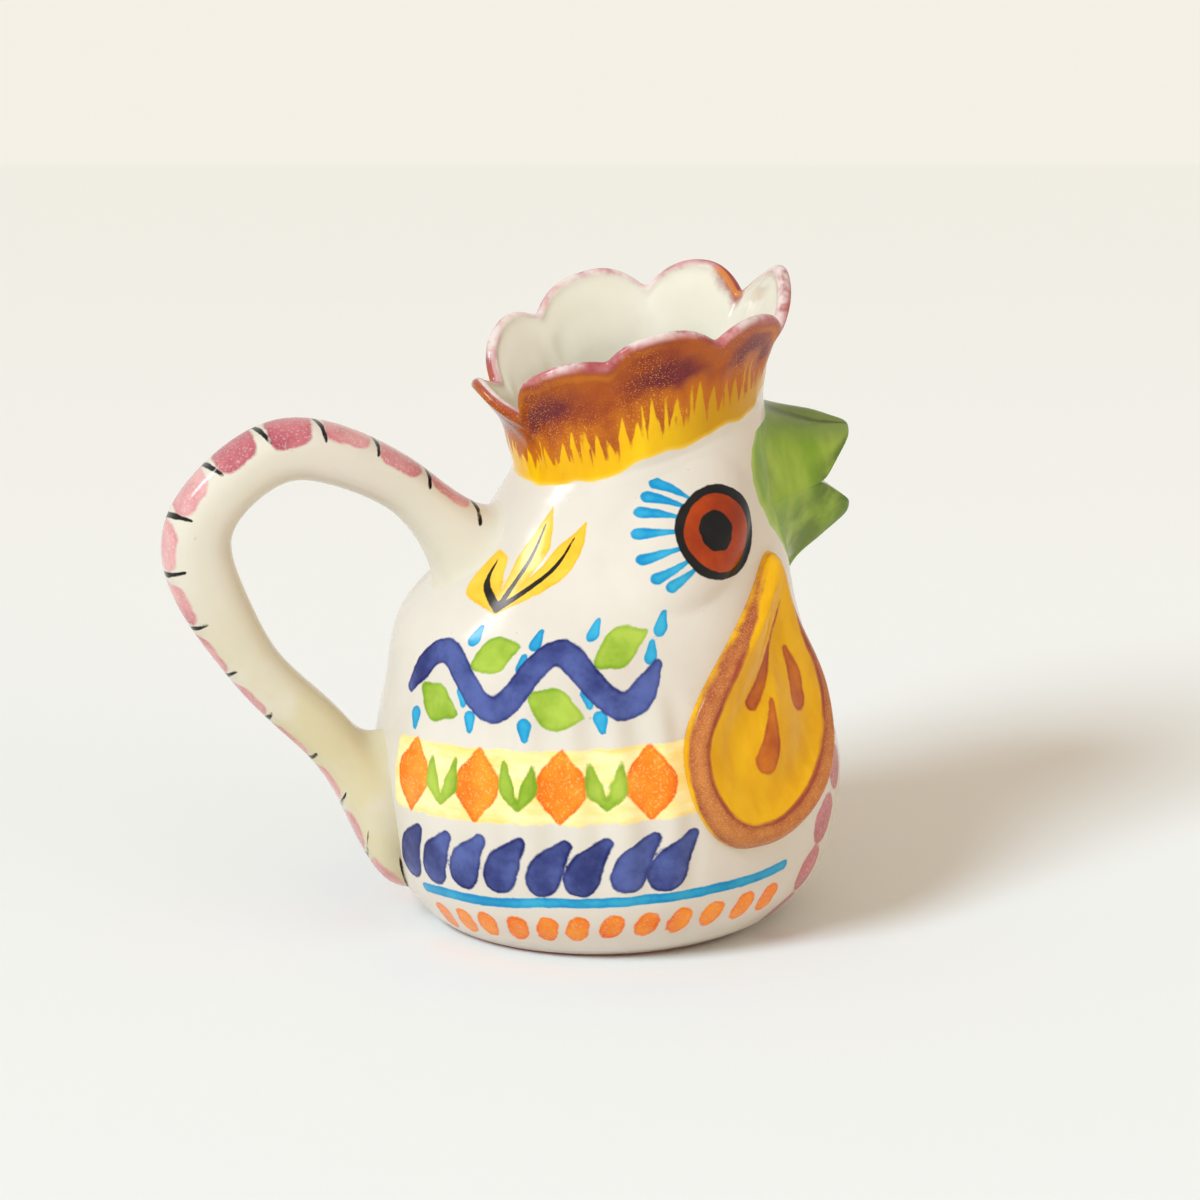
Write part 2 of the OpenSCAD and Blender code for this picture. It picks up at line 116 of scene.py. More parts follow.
# The wall's rings, from the foot up: forward offset, height, radius and lean of each
ROWS = np.array([
    [0, 0, FOOT_D / 2, 0],
    [BELLY_FORWARD * 0.7, FLOOR_T, HEEL_D / 2, 0],
    [BELLY_FORWARD, mix(FLOOR_T, BELLY_Z, 0.35), mix(HEEL_D, BELLY_D, 0.7) / 2, 0],
    [BELLY_FORWARD, BELLY_Z, BELLY_D / 2, 0],
    [BELLY_FORWARD / 2, mix(BELLY_Z, SHOULDER_Z, 0.56), mix(BELLY_D, SHOULDER_D, 0.5) / 2, 0],
    [0, SHOULDER_Z, SHOULDER_D / 2, 2],
    [HEAD_FORWARD * 0.4, mix(SHOULDER_Z, HEAD_Z, 0.5), mix(SHOULDER_D, HEAD_D, 0.48) / 2, NECK_TILT * 0.4],
    [HEAD_FORWARD, HEAD_Z, HEAD_D / 2, NECK_TILT * 0.7],
    [NECK_FORWARD, NECK_Z, NECK_D / 2, NECK_TILT],
])
NECK_ROW = len(ROWS) - 1
ROW_STEPS = np.linspace(0, NECK_ROW, 4001)
ROW_HEIGHTS = through(ROWS, ROW_STEPS)[:, 1]


def row_of(z):
    """Where on the curve of rings a ring of a given height lies."""
    return np.interp(z, ROW_HEIGHTS, ROW_STEPS)


def skin(u, angle, off):
    """Points on the outside of the wall, or off it by a distance."""
    w = through(ROWS, u)
    r = w[..., 2] + off
    a, lean = np.radians(angle), np.radians(w[..., 3])
    forward = r * np.cos(a)
    parts = (w[..., 0] + forward * np.cos(lean), r * np.sin(a), w[..., 1] + forward * np.sin(lean))
    return np.stack(np.broadcast_arrays(*parts), -1)


def patch(z, angle, a, b, off):
    """Points over the wall beside a middle: a is the way round and b the way up."""
    u = row_of(z + b)
    turn = np.degrees(a / through(ROWS, u)[..., 2]) - angle
    return skin(u, turn, off), z + b, turn


def circle(radius, z, turn, forward=0):
    """A level ring of points."""
    a = np.radians(turn)
    parts = (forward + radius * np.cos(a), radius * np.sin(a), z + 0 * a)
    return np.stack(np.broadcast_arrays(*parts), -1)


def waves(points, length, seed, count=7):
    """Smooth unevenness between about -1 and 1, for clay shaped by hand."""
    rng = np.random.default_rng(seed)
    total = np.zeros(points.shape[:-1])
    for _ in range(count):
        way = rng.normal(size=3)
        way *= 2 * np.pi / length / np.linalg.norm(way) * rng.uniform(0.7, 1.4)
        total += np.sin(points @ way + rng.uniform(0, 6.28))
    return total / count**0.5


def from_back(turn):
    """Angle round from the handle, the same on both sides."""
    return 180 - np.abs((turn + 180) % 360 - 180)


# Painted layers: distances in millimetres, below zero inside a brush stroke
FAR = 9.0


class Paint:
    """Distance from each point of a surface to the strokes of each layer."""

    def __init__(self, names, shape):
        self.layers = {name: np.full(shape, FAR) for name in names}

    def stroke(self, layer, chart, line, widths, fine=6):
        """A brush stroke along a line, with its half width at each of the line's points."""
        x, y = chart
        line, widths = np.asarray(line, float), np.asarray(widths, float)
        if len(line) > 2:
            u = np.linspace(0, len(line) - 1, fine * (len(line) - 1) + 1)
            widths = np.interp(u, np.arange(len(line)), widths)
            line = through(line, u)
        reach = widths.max() + 2.5
        low, high = line.min(0) - reach, line.max(0) + reach
        near = np.nonzero((x > low[0]) & (x < high[0]) & (y > low[1]) & (y < high[1]))
        px, py = x[near], y[near]
        best = self.layers[layer][near]
        for p, q, rp, rq in zip(line[:-1], line[1:], widths[:-1], widths[1:]):
            d = q - p
            t = np.clip(((px - p[0]) * d[0] + (py - p[1]) * d[1]) / max(d @ d, 1e-9), 0, 1)
            away = np.hypot(px - p[0] - t * d[0], py - p[1] - t * d[1])
            best = np.minimum(best, away - mix(rp, rq, t))
        self.layers[layer][near] = best

    def box(self, layer, chart, middle, half, soft):
        """A dab with square sides and rounded corners."""
        x = np.abs(chart[0] - middle[0]) - half[0] + soft
        y = np.abs(chart[1] - middle[1]) - half[1] + soft
        corner = np.hypot(np.maximum(x, 0), np.maximum(y, 0))
        self.put(layer, corner + np.minimum(np.maximum(x, y), 0) - soft)

    def put(self, layer, distance):
        self.layers[layer] = np.minimum(self.layers[layer], distance)


# Radius that turns an angle round the flank into millimetres, and how the border slopes on it
FLANK_R, FLANK_SLOPE, FLANK_MIDDLE = 66, 0.07, 80
# Heights of the border's rows, the swing of its vine and the length of one swing
VINE_Z, WASH_Z, COMMA_Z, LINE_Z, DOT_Z = 86, 56, 32.6, 21.4, 11.6
VINE_SWING, VINE_LENGTH = 8.4, 42
BODY_LAYERS = ["wash", "leaf", "orange", "green", "aqua", "blue", "rose", "iris", "black", "gold", "bill"]


def paint_flank(paint, x, z, rng):
    """A border of common brush motifs on each side, between the handle and the wattle."""
    chart = (x, z - FLANK_SLOPE * (x - FLANK_MIDDLE))

    def jog(size):
        return rng.uniform(-size, size)

    # A vine with leaves and berries under the shoulder
    stem = np.arange(18, 110, 5.25)
    stem = np.stack([stem, VINE_Z + VINE_SWING * np.sin((stem - 22) / VINE_LENGTH * 2 * np.pi)], -1)
    paint.stroke("blue", chart, stem, np.r_[2.0, np.full(len(stem) - 2, 4.0), 1.8], fine=3)
    for k, s in enumerate(np.arange(32.5, 112, VINE_LENGTH / 2)):
        up = -1 if k % 2 == 0 else 1
        z0 = VINE_Z + up * 3.2
        leaf = [(s - 6.8, z0 + up * 1.5), (s - 0.8, z0 + up * 4.8), (s + 7.4, z0 + up * 7.4)]
        paint.stroke("green", chart, leaf, [2.0, 6.0 + jog(0.3), 1.0])
        for a, b in ((-10.2, 9.6), (9.8, 0.8), (13.0, 8.0)):
            berry = [(s + a, z0 + up * b), (s + a + 0.4, z0 + up * (b + 3.4))]
            paint.stroke("aqua", chart, berry, [2.4 + jog(0.2), 1.2])
    # One wash of yellow round the belly, with lozenges and pairs of small leaves on it
    paint.box("wash", chart, (65, WASH_Z), (50, 10.4), 3)
    for s in np.arange(24, 112, 25.5):
        s = s + jog(1.0)
        lozenge = [(s - 0.6, WASH_Z - 9.8), (s, WASH_Z + 0.2), (s + 0.7, WASH_Z + 10.2)]
        paint.stroke("orange", chart, lozenge, [0.8, 7.4, 0.8])
        for lean in (-1, 1) if s < 95 else ():
            m, tip = s + 12.8, WASH_Z + 6.4 + jog(0.6)
            sprig = [(m, WASH_Z - 6), (m + lean * 3.4, WASH_Z - 0.6), (m + lean * 4.6, tip)]
            paint.stroke("green", chart, sprig, [0.8, 2.6, 0.7])
    # Leaning commas below it
    for s in np.arange(23, 120, 12.2):
        s, z0 = s + jog(0.7), COMMA_Z + jog(0.5)
        comma = [(s - 3.2, z0 - 3.6), (s - 1.6, z0 + 0.6), (s + 3.8, z0 + 7.2)]
        paint.stroke("blue", chart, comma, [5.4 + jog(0.3), 5.0, 2.0])
    # A line and a row of dots round the foot
    line = [(s, LINE_Z + jog(0.4)) for s in np.arange(24, 148, 11.0)]
    paint.stroke("aqua", chart, line, np.full(len(line), 1.6), fine=3)
    for s in np.arange(27, 146, 10.4):
        s = s + jog(0.5)
        paint.stroke("orange", chart, [(s, DOT_Z + jog(0.4)), (s + 0.6, DOT_Z + 1.8)], [3.7, 3.5])
    # A fan of three plumes on the shoulder
    foot = np.array((45.5, 108.5))
    for tip, bend in (((25.0, 127), -4.5), ((45.0, 139), 0.6), ((66.0, 132), 4.5)):
        middle = mix(foot, tip, 0.55) + (bend, 0)
        vein = [foot, mix(foot, tip, 0.45) + (bend * 0.9, 0), mix(foot, tip, 0.84)]
        paint.stroke("leaf", chart, [foot, middle, tip], [1.8, 7.0, 0.6])
        paint.stroke("black", chart, vein, [1.3, 1.1, 0.5])


# The flat chart on which each eye is drawn
EYE_Z, EYE_ANGLE, EYE_LIFT = 121.6, 73.5, 4.0
EYE_MIDDLE = skin(row_of(EYE_Z), -EYE_ANGLE, EYE_LIFT)
EYE_ROUND = skin(row_of(EYE_Z), 1 - EYE_ANGLE, EYE_LIFT) - EYE_MIDDLE
EYE_RISE = skin(row_of(EYE_Z + 1), -EYE_ANGLE, EYE_LIFT) - EYE_MIDDLE
EYE_OUT = np.cross(EYE_ROUND, EYE_RISE) / np.linalg.norm(np.cross(EYE_ROUND, EYE_RISE))
EYE_SIDE = np.array([-EYE_OUT[1], EYE_OUT[0], 0]) / np.hypot(EYE_OUT[0], EYE_OUT[1])
EYE_UP = np.cross(EYE_OUT, EYE_SIDE)
# Middles of its ring and its pupil on that chart, and the ring's and the pupil's radii
RING_X, RING_Y, RING_R, RING_T = 3.2, -0.2, 13.8, 2.6
PUPIL_X, PUPIL_Y, PUPIL_R = 1.8, 0.2, 5.7
# Direction and outer radius of each eyelash
LASHES = [(126, 21.6), (139, 20.8), (154, 20.6), (173, 21.2), (194, 22.4), (212, 22.4), (225, 21.2)]


def paint_eye(paint, points):
    """Ring, iris, pupil and lashes, the same on both sides of the head."""
    d = np.stack([points[..., 0], -np.abs(points[..., 1]), points[..., 2]], -1) - EYE_MIDDLE
    x, y = d @ EYE_SIDE, d @ EYE_UP
    x = np.where(d @ EYE_OUT > -22, x, 99)
    a = np.arctan2(y - RING_Y, x - RING_X)
    r = np.hypot(x - RING_X, y - RING_Y)
    outer = RING_R + 0.3 * np.sin(2 * a + 0.6) + 0.12 * np.sin(5 * a)
    inner = RING_R - RING_T + 0.3 * np.sin(a - 2.4) + 0.18 * np.sin(4 * a + 1)
    paint.put("iris", r - RING_R + RING_T / 2)
    paint.put("black", np.maximum(r - outer, inner - r))
    b = np.arctan2(y - PUPIL_Y, x - PUPIL_X)
    pupil = PUPIL_R + 0.25 * np.cos(2 * b + 2.6) + 0.1 * np.sin(5 * b + 0.4) + 0.1 * np.sin(9 * b)
    paint.put("black", np.hypot(x - PUPIL_X, y - PUPIL_Y) - pupil)
    for turn, reach in LASHES:
        way = np.array([np.cos(np.radians(turn)), np.sin(np.radians(turn))])
        root = np.array([RING_X, RING_Y]) + way * (RING_R - 0.8)
        lash = [way * (reach - 1.6), mix(way * reach, root, 0.5), root]
        paint.stroke("aqua", (x, y), lash, [1.7, 1.25, 0.5])


# Height of a ring and how far round from the front the beak's green reaches there
BILL_ROWS = [93, 96, 101, 105, 109, 115, 122.5, 128, 132, 136, 139, 141.5, 143.5, 145]
BILL_REACH = [-6, 5, 16, 22, 28, 38, 44.5, 47.2, 47.2, 45.2, 40.5, 33, 22, 8]
# Angle round from the front, height and half size of the dabs down the breast
BREAST_DABS = ((15, 60.5, 5.6), (27, 48.4, 6.0), (35.5, 35.0, 6.4), (39.5, 20.8, 6.0), (43, 8.6, 4.4))


def hem_row(turn):
    """Height of the ring at which the comb's yellow ends: on the neck behind, above it in front."""
    side = from_back(turn)
    x = np.radians(side) * FLANK_R
    ragged = 0.4 * np.sin(x / 6.5) + 0.2 * np.sin(x / 2.7 + 1)
    return NECK_Z - 0.4 + 3.0 * ease((side - 52) / 34) + 6 * ease((side - 140) / 30) + ragged


def paint_body(points, row_z, turn):
    """All the paint on the wall and on the eye bosses."""
    paint = Paint(BODY_LAYERS, points.shape[:-1])
    side = from_back(turn)
    x = np.radians(side) * FLANK_R
    paint_flank(paint, x, row_z, np.random.default_rng(11))
    for angle, z, size in BREAST_DABS:
        s = np.radians(180 - angle) * FLANK_R
        paint.stroke("rose", (x, row_z), [(s - 0.8, z - 1.0), (s + 0.8, z + 1.0)], [size, size * 0.94])
    paint.put("gold", hem_row(turn) - row_z)
    paint.put("bill", np.radians(180 - side - np.interp(row_z, BILL_ROWS, BILL_REACH)) * HEAD_D / 2)
    paint_eye(paint, points)
    return paint.layers


# Meshes
def dress(name, points, faces, layers, node, slot):
    """A smooth closed piece that stands for a node, with a value a point in each painted layer."""
    mesh = bpy.data.meshes.new(name)
    mesh.from_pydata((points * MM).tolist(), [], faces)
    form = bmesh.new()
    form.from_mesh(mesh)
    bmesh.ops.recalc_face_normals(form, faces=form.faces)
    form.to_mesh(mesh)
    form.free()
    mesh.polygons.foreach_set("use_smooth", np.ones(len(mesh.polygons), bool))
    for key, values in layers.items():
        attribute = mesh.attributes.new(key, "FLOAT", "POINT")
        attribute.data.foreach_set("value", values.astype(np.float32))
    piece = bpy.data.objects.new(name, mesh)
    bpy.context.scene.collection.objects.link(piece)
    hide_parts(node)
    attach(piece, "root")
    return piece


def strips(n, m, first):
    """Faces between rings of points, from one ring to the next."""
    j = np.arange(m)
    after = (j + 1) % m
    i = np.arange(n - 1)[:, None] * m + first
    return np.stack([i + j, i + after, i + m + after, i + m + j], -1).reshape(-1, 4).tolist()


def loft(name, rings, first, last, node, slot, layers):
    """A piece over a stack of rings with a point at each end."""
    n, m = rings.shape[:2]
    points = np.vstack([[first], rings.reshape(-1, 3), [last]])
    faces = strips(n, m, 1)
    top = 1 + (n - 1) * m
    for j in range(m):
        after = (j + 1) % m
        faces.append([0, 1 + after, 1 + j])
        faces.append([top + m, top + j, top + after])
    flat = {key: np.r_[v[0].mean(), v.ravel(), v[-1].mean()] for key, v in layers.items()}
    return dress(name, points, faces, flat, node, slot)


def loft_ring(name, rings, node, slot, layers):
    """A piece over rings that come round to the first one again."""
    n, m = rings.shape[:2]
    faces = [[v % (n * m) for v in face] for face in strips(n + 1, m, 0)]
    flat = {key: v.ravel() for key, v in layers.items()}
    return dress(name, rings.reshape(-1, 3), faces, flat, node, slot)


def loft_pair(name, rings, first, last, node, slot, layers):
    """A piece on the bird's right and its mirror image on the left."""
    pieces = []
    for side, flip in (("right_", 1), ("left_", -1)):
        flip = np.array([1, flip, 1])
        form = (rings * flip, first * flip, last * flip)
        pieces.append(loft(side + name, *form, side + node, slot, layers))
    return pieces


BODY_COLUMNS, BODY_ROWS, INNER_ROWS = 416, 178, 26
# Where on the curve of rings the glaze starts above the bare clay
GLAZE_FROM = 0.19
FLUTE_DEPTH, FLUTE_STEP = 0.8, 13.5


def body_relief(points, row_z, turn):
    """Uneven throwing and the soft flutes of the folded wings, in millimetres."""
    side = from_back(turn)
    across = ease((side - 38) / 16) * ease((104 - side) / 12)
    wing = across * ease((row_z - 18) / 14) * ease((88 - row_z) / 16)
    flutes = FLUTE_DEPTH * np.cos(np.radians(side) * FLANK_R * 2 * np.pi / FLUTE_STEP + 0.02 * row_z) * wing
    settle = ease((row_z - 4) / 10) * ease((NECK_Z - row_z) / 6)
    return flutes + 0.3 * waves(points, 62, 3) * settle


def make_body():
    """The wall, glazed outside and inside, with a level floor in it."""
    turn = np.linspace(-180, 180, BODY_COLUMNS, endpoint=False)[None, :]
    u = np.linspace(GLAZE_FROM, NECK_ROW, BODY_ROWS)[:, None]
    row_z = through(ROWS, u)[..., 1] + 0 * turn
    outer = skin(u, turn, body_relief(skin(u, turn, 0), row_z, turn + 0 * u))
    inner = skin(np.linspace(NECK_ROW, 1.15, INNER_ROWS)[:, None], turn, -WALL_T)
    level = [circle(r, z, turn, ROWS[1, 0]) for r, z in ((49, FLOOR_T + 0.6), (44, FLOOR_T), (22, FLOOR_T))]
    edge = np.array([[GLAZE_FROM]])
    tuck = [skin(edge, turn, off) + (0, 0, rise) for off, rise in ((-4, 0.7), (-1.2, -0.05), (-0.35, -0.1))]
    rings = np.concatenate(tuck + [outer, inner] + level)
    layers = {name: np.full(rings.shape[:2], FAR) for name in BODY_LAYERS}
    span = slice(len(tuck), len(tuck) + BODY_ROWS)
    for name, values in paint_body(outer, row_z, turn + 0 * u).items():
        layers[name][span] = values
    layers["inside"] = np.ones(rings.shape[:2])
    layers["inside"][:span.stop] = 0
    return loft("painted_body", rings, (0, 0, 2), (0, 0, FLOOR_T), "body_wall", "white_glaze", layers)


def make_floor():
    """Bare clay disc: a flat underside with a worn, rounded edge that runs up under the glaze."""
    turn = np.linspace(-180, 180, 192, endpoint=False)
    foot, top = FOOT_D / 2, 3.4
    edge = [(foot - 12, 0), (foot - 3, 0), (foot - 1.4, 0), (foot - 0.5, 0.12), (foot - 0.05, 0.4)]
    rings = [circle(r, z, turn) for r, z in edge]
    rings += [skin(u, turn, -0.12) for u in np.linspace(0.1, 0.5, 6)]
    rings += [circle(r, top, turn) for r in (foot - 2, foot - 16)]
    return loft("clay_floor", np.stack(rings), (0, 0, 0), (0, 0, top), "floor_slab", "bare_clay", {})


LOBE_COLUMNS, SKIRT_ROWS, COMB_ROWS, LIP_ROWS, COMB_INNER_ROWS = 48, 12, 52, 14, 24
# The comb's lobes, from the front one round by the bird's left: where each starts, the height of the
# notch there, and the angle, height and roundness of its bulge
COMB_LOBES = [
    (-31, 20.5, -4, 32.3, 1.4),
    (27, 21.5, 44, 31.8, 2.2),
    (68, 27.0, 87.5, 36.5, 2.4),
    (114, 30.0, 131, 33.0, 2.4),
    (151, 20.0, 180, 29.0, 1.4),
    (206, 19.0, 217, 31.5, 2.4),
    (248.5, 32.0, 271, 36.5, 2.4),
    (291.5, 27.3, 312, 29.0, 2.4),
]
# How far the front lobe is drawn out, each lobe is dished and its lip is rolled out
FRONT_REACH, LOBE_DISH, LIP_ROLL = 1.5, 1.1, 0.9
# Where in a lobe its dark cloud lies, its half width as a share of the lobe's and its half height
CLOUD_SHARE, CLOUD_WIDTH, CLOUD_HEIGHT = 0.7, 0.33, 4.4
# Angle of the notch at which some of the outside's colour has run over the lip
STAIN_ANGLE = 31
# How far the comb's foot is smeared down over the neck
SKIRT_H, SKIRT_T = 6.0, 0.07
# Radius that turns an angle round the comb into millimetres
COMB_R = 42


def comb_rim():
    """Angle, height and radius of the rim, and how near each point is to the bulge of its lobe."""
    columns = []
    u = np.arange(LOBE_COLUMNS) / LOBE_COLUMNS
    for k, (start, notch, peak, top, roundness) in enumerate(COMB_LOBES):
        stop, next_notch = COMB_LOBES[(k + 1) % len(COMB_LOBES)][:2]
        stop = stop if stop > start else stop + 360
        middle = (peak - start) / (stop - start)
        bulge = np.abs(np.where(u < middle, u / middle - 1, (u - middle) / (1 - middle)))
        rise = top - mix(notch, next_notch, middle)
        height = mix(notch, next_notch, u) + rise * (1 - np.sqrt(bulge**2 + 0.004) ** roundness)
        reach = FRONT_REACH if k == 0 else 0
        radius = RIM_D / 2 - RIM_PINCH * bulge**3 + reach * (1 - bulge)
        columns.append(np.stack([mix(start, stop, u), height, radius, 1 - bulge]))
    angle, rim, rim_r, lobe = np.concatenate(columns, axis=1)
    # A soft notch instead of a sharp one
    return angle, soften(rim, 5), soften(rim_r, 5), lobe


# How far the tongues reach above the yellow's lower edge, from the back of the comb to its front
TONGUE_AHEAD = [-1, -0.6, 0, 0.67, 1]
TONGUE_TALL = [12.5, 15.5, 20, 14, 9]


def paint_flames(around, height):
    """Yellow tongues that lick up into the red, and thin runs of the red down between them."""
    rng = np.random.default_rng(8)
    paint = Paint(["fire", "run"], height.shape)
    hem = hem_row(np.degrees(around / COMB_R)) - NECK_Z
    paint.put("fire", height - hem - 5.2 - 0.9 * np.sin(around / 5) - 0.5 * np.sin(around / 2.3 + 1))
    length = np.pi * 2 * COMB_R

    def lick(layer, line, widths):
        for shift in (-length, 0, length):
            paint.stroke(layer, (around + shift, height), line, widths, fine=5)

    s = 0.0
    while s < length:
        ahead = np.cos(s / COMB_R)
        foot = hem_row(np.degrees(s / COMB_R)) - NECK_Z + 3.6
        thin = ahead > 0.55 or rng.uniform() < 0.35
        width = rng.uniform(0.6, 1.1) if thin else rng.uniform(1.5, 2.9)
        tall = np.interp(ahead, TONGUE_AHEAD, TONGUE_TALL) * rng.uniform(0.55, 1.1) - 3.6
        middle = s + width
        tip = np.array([middle + rng.uniform(-0.8, 1.6), foot + tall])
        tongue = [(middle, foot), mix(np.array([middle, foot]), tip, 0.45), tip]
        lick("fire", tongue, [width * 1.1, width * 0.66, 0.05])
        s += width * 2 * rng.uniform(0.7, 1.15)
    s = 0.0
    while s < length:
        foot = hem_row(np.degrees(s / COMB_R)) - NECK_Z
        low, top = foot + rng.uniform(1.4, 5.0), foot + 9.5
        run = [(s + rng.uniform(-0.6, 0.6), low), (s, mix(low, top, 0.5)), (s, top)]
        lick("run", run, [0.05, 0.3, 0.6])
        s += rng.uniform(2.2, 7.5)
    return np.maximum(paint.layers["fire"], -paint.layers["run"])


def paint_clouds(angle, share):
    """Distance from a dark cloud in the upper half of each lobe."""
    cloud = np.full(np.broadcast(angle, share).shape, FAR)
    for k, (start, _, peak, top, _) in enumerate(COMB_LOBES):
        stop = COMB_LOBES[(k + 1) % len(COMB_LOBES)][0]
        half = np.radians((stop - start) % 360) * COMB_R * CLOUD_WIDTH
        across = np.radians((angle - peak + 180) % 360 - 180) * COMB_R / half
        reach = np.hypot(across, (share - CLOUD_SHARE) * top / CLOUD_HEIGHT)
        cloud = np.minimum(cloud, (reach - 1) * CLOUD_HEIGHT)
    return cloud


def make_comb():
    """The ruffled collar: a foot smeared over the neck, the outside, the rolled lip and the inside."""
    angle, rim, rim_r, lobe = comb_rim()
    a, tilt = np.radians(angle), np.radians(NECK_TILT)

    def ring(v, depth, up):
        dish = LOBE_DISH * np.sin(np.pi * np.clip((v - 0.25) / 0.62, 0, 1)) ** 2 * ease(lobe / 0.6)
        roll = LIP_ROLL * ease((v - 0.8) / 0.2) + SKIRT_T * (1 - ease(v / 0.2))
        r = mix(NECK_D, RIM_D, v**1.5) / 2 + (rim_r - RIM_D / 2) * v**0.8 - depth - dish + roll
        x, h = r * np.cos(a) + RIM_FORWARD * v, v * rim + up
        return np.stack([NECK_FORWARD + x * np.cos(tilt) - h * np.sin(tilt), r * np.sin(a),
                         NECK_Z + x * np.sin(tilt) + h * np.cos(tilt)], -1)

    half = RIM_T / 2
    # Each row: its points, height above the neck, way to the lip's crest, share of the rim and side
    rows = []
    for share in np.linspace(0, 1, SKIRT_ROWS, endpoint=False):
        z = NECK_Z - SKIRT_H * (1 - share)
        relief = body_relief(skin(row_of(z), angle, 0), z, angle)
        points = skin(row_of(z), angle, relief + mix(-0.1, SKIRT_T, ease(share * 1.6)))
        rows.append((points, z - NECK_Z + 0 * rim, rim, 0, 0))
    for v in np.linspace(0, 1, COMB_ROWS):
        rows.append((ring(v, 0, 0), v * rim, (1 - v) * rim + half * np.pi / 2, v, 0))
    for b in np.linspace(0, np.pi, LIP_ROWS + 2)[1:-1]:
        points = ring(1, half * (1 - np.cos(b)), half * np.sin(b))
        rows.append((points, rim, half * abs(np.pi / 2 - b) + 0 * rim, 1, float(b > np.pi / 2)))
    for v in np.linspace(1, 0, COMB_INNER_ROWS):
        rows.append((ring(v, mix(WALL_T, RIM_T, v), 0), v * rim, (1 - v) * rim + half * np.pi / 2, v, 1))
    rings, height, crest, share, inside = (np.array(v) for v in zip(*rows))
    around = (a * COMB_R)[None, :] + 0 * height
    layers = {
        "fire": paint_flames(around, height),
        "cloud": paint_clouds(angle[None, :], share[:, None]),
        "gold": hem_row(angle) - NECK_Z - height,
        "crest": crest,
        "inside": inside[:, None] + 0 * height,
        "stain": np.hypot(np.radians(angle - STAIN_ANGLE) * COMB_R / 2, np.maximum(crest - 1, 0) * 0.7),
        "around": around,
        "height": height,
    }
    return loft_ring("ruffled_comb", rings, "comb_collar", "comb_glaze", layers)


HANDLE_SIDES, HANDLE_ROWS, UPPER_ROWS, LOWER_ROWS = 72, 190, 22, 34
HANDLE_FROM, HANDLE_TO = 0.75, 6
# Each root: its height on the wall, its size and direction, how full it stands, how far its edge is
# smeared out and where it comes down to the wall
UPPER_ROOT = (UPPER_ROOT_Z, UPPER_ROOT_H, 1, 0.03, 1.24, 0.82)
LOWER_ROOT = (LOWER_ROOT_Z, LOWER_ROOT_H, -1, 0.25, 1.05, 1.0)
KNEE_SHARE = 0.45
# Squareness of the strap, which the thumb has flattened a little
STRAP_SQUARE = 2.5
# How many dark ticks there are along the handle, and which of the dabs between them are deeper
TICKS, DEEP_DABS = 15, (3, 4)


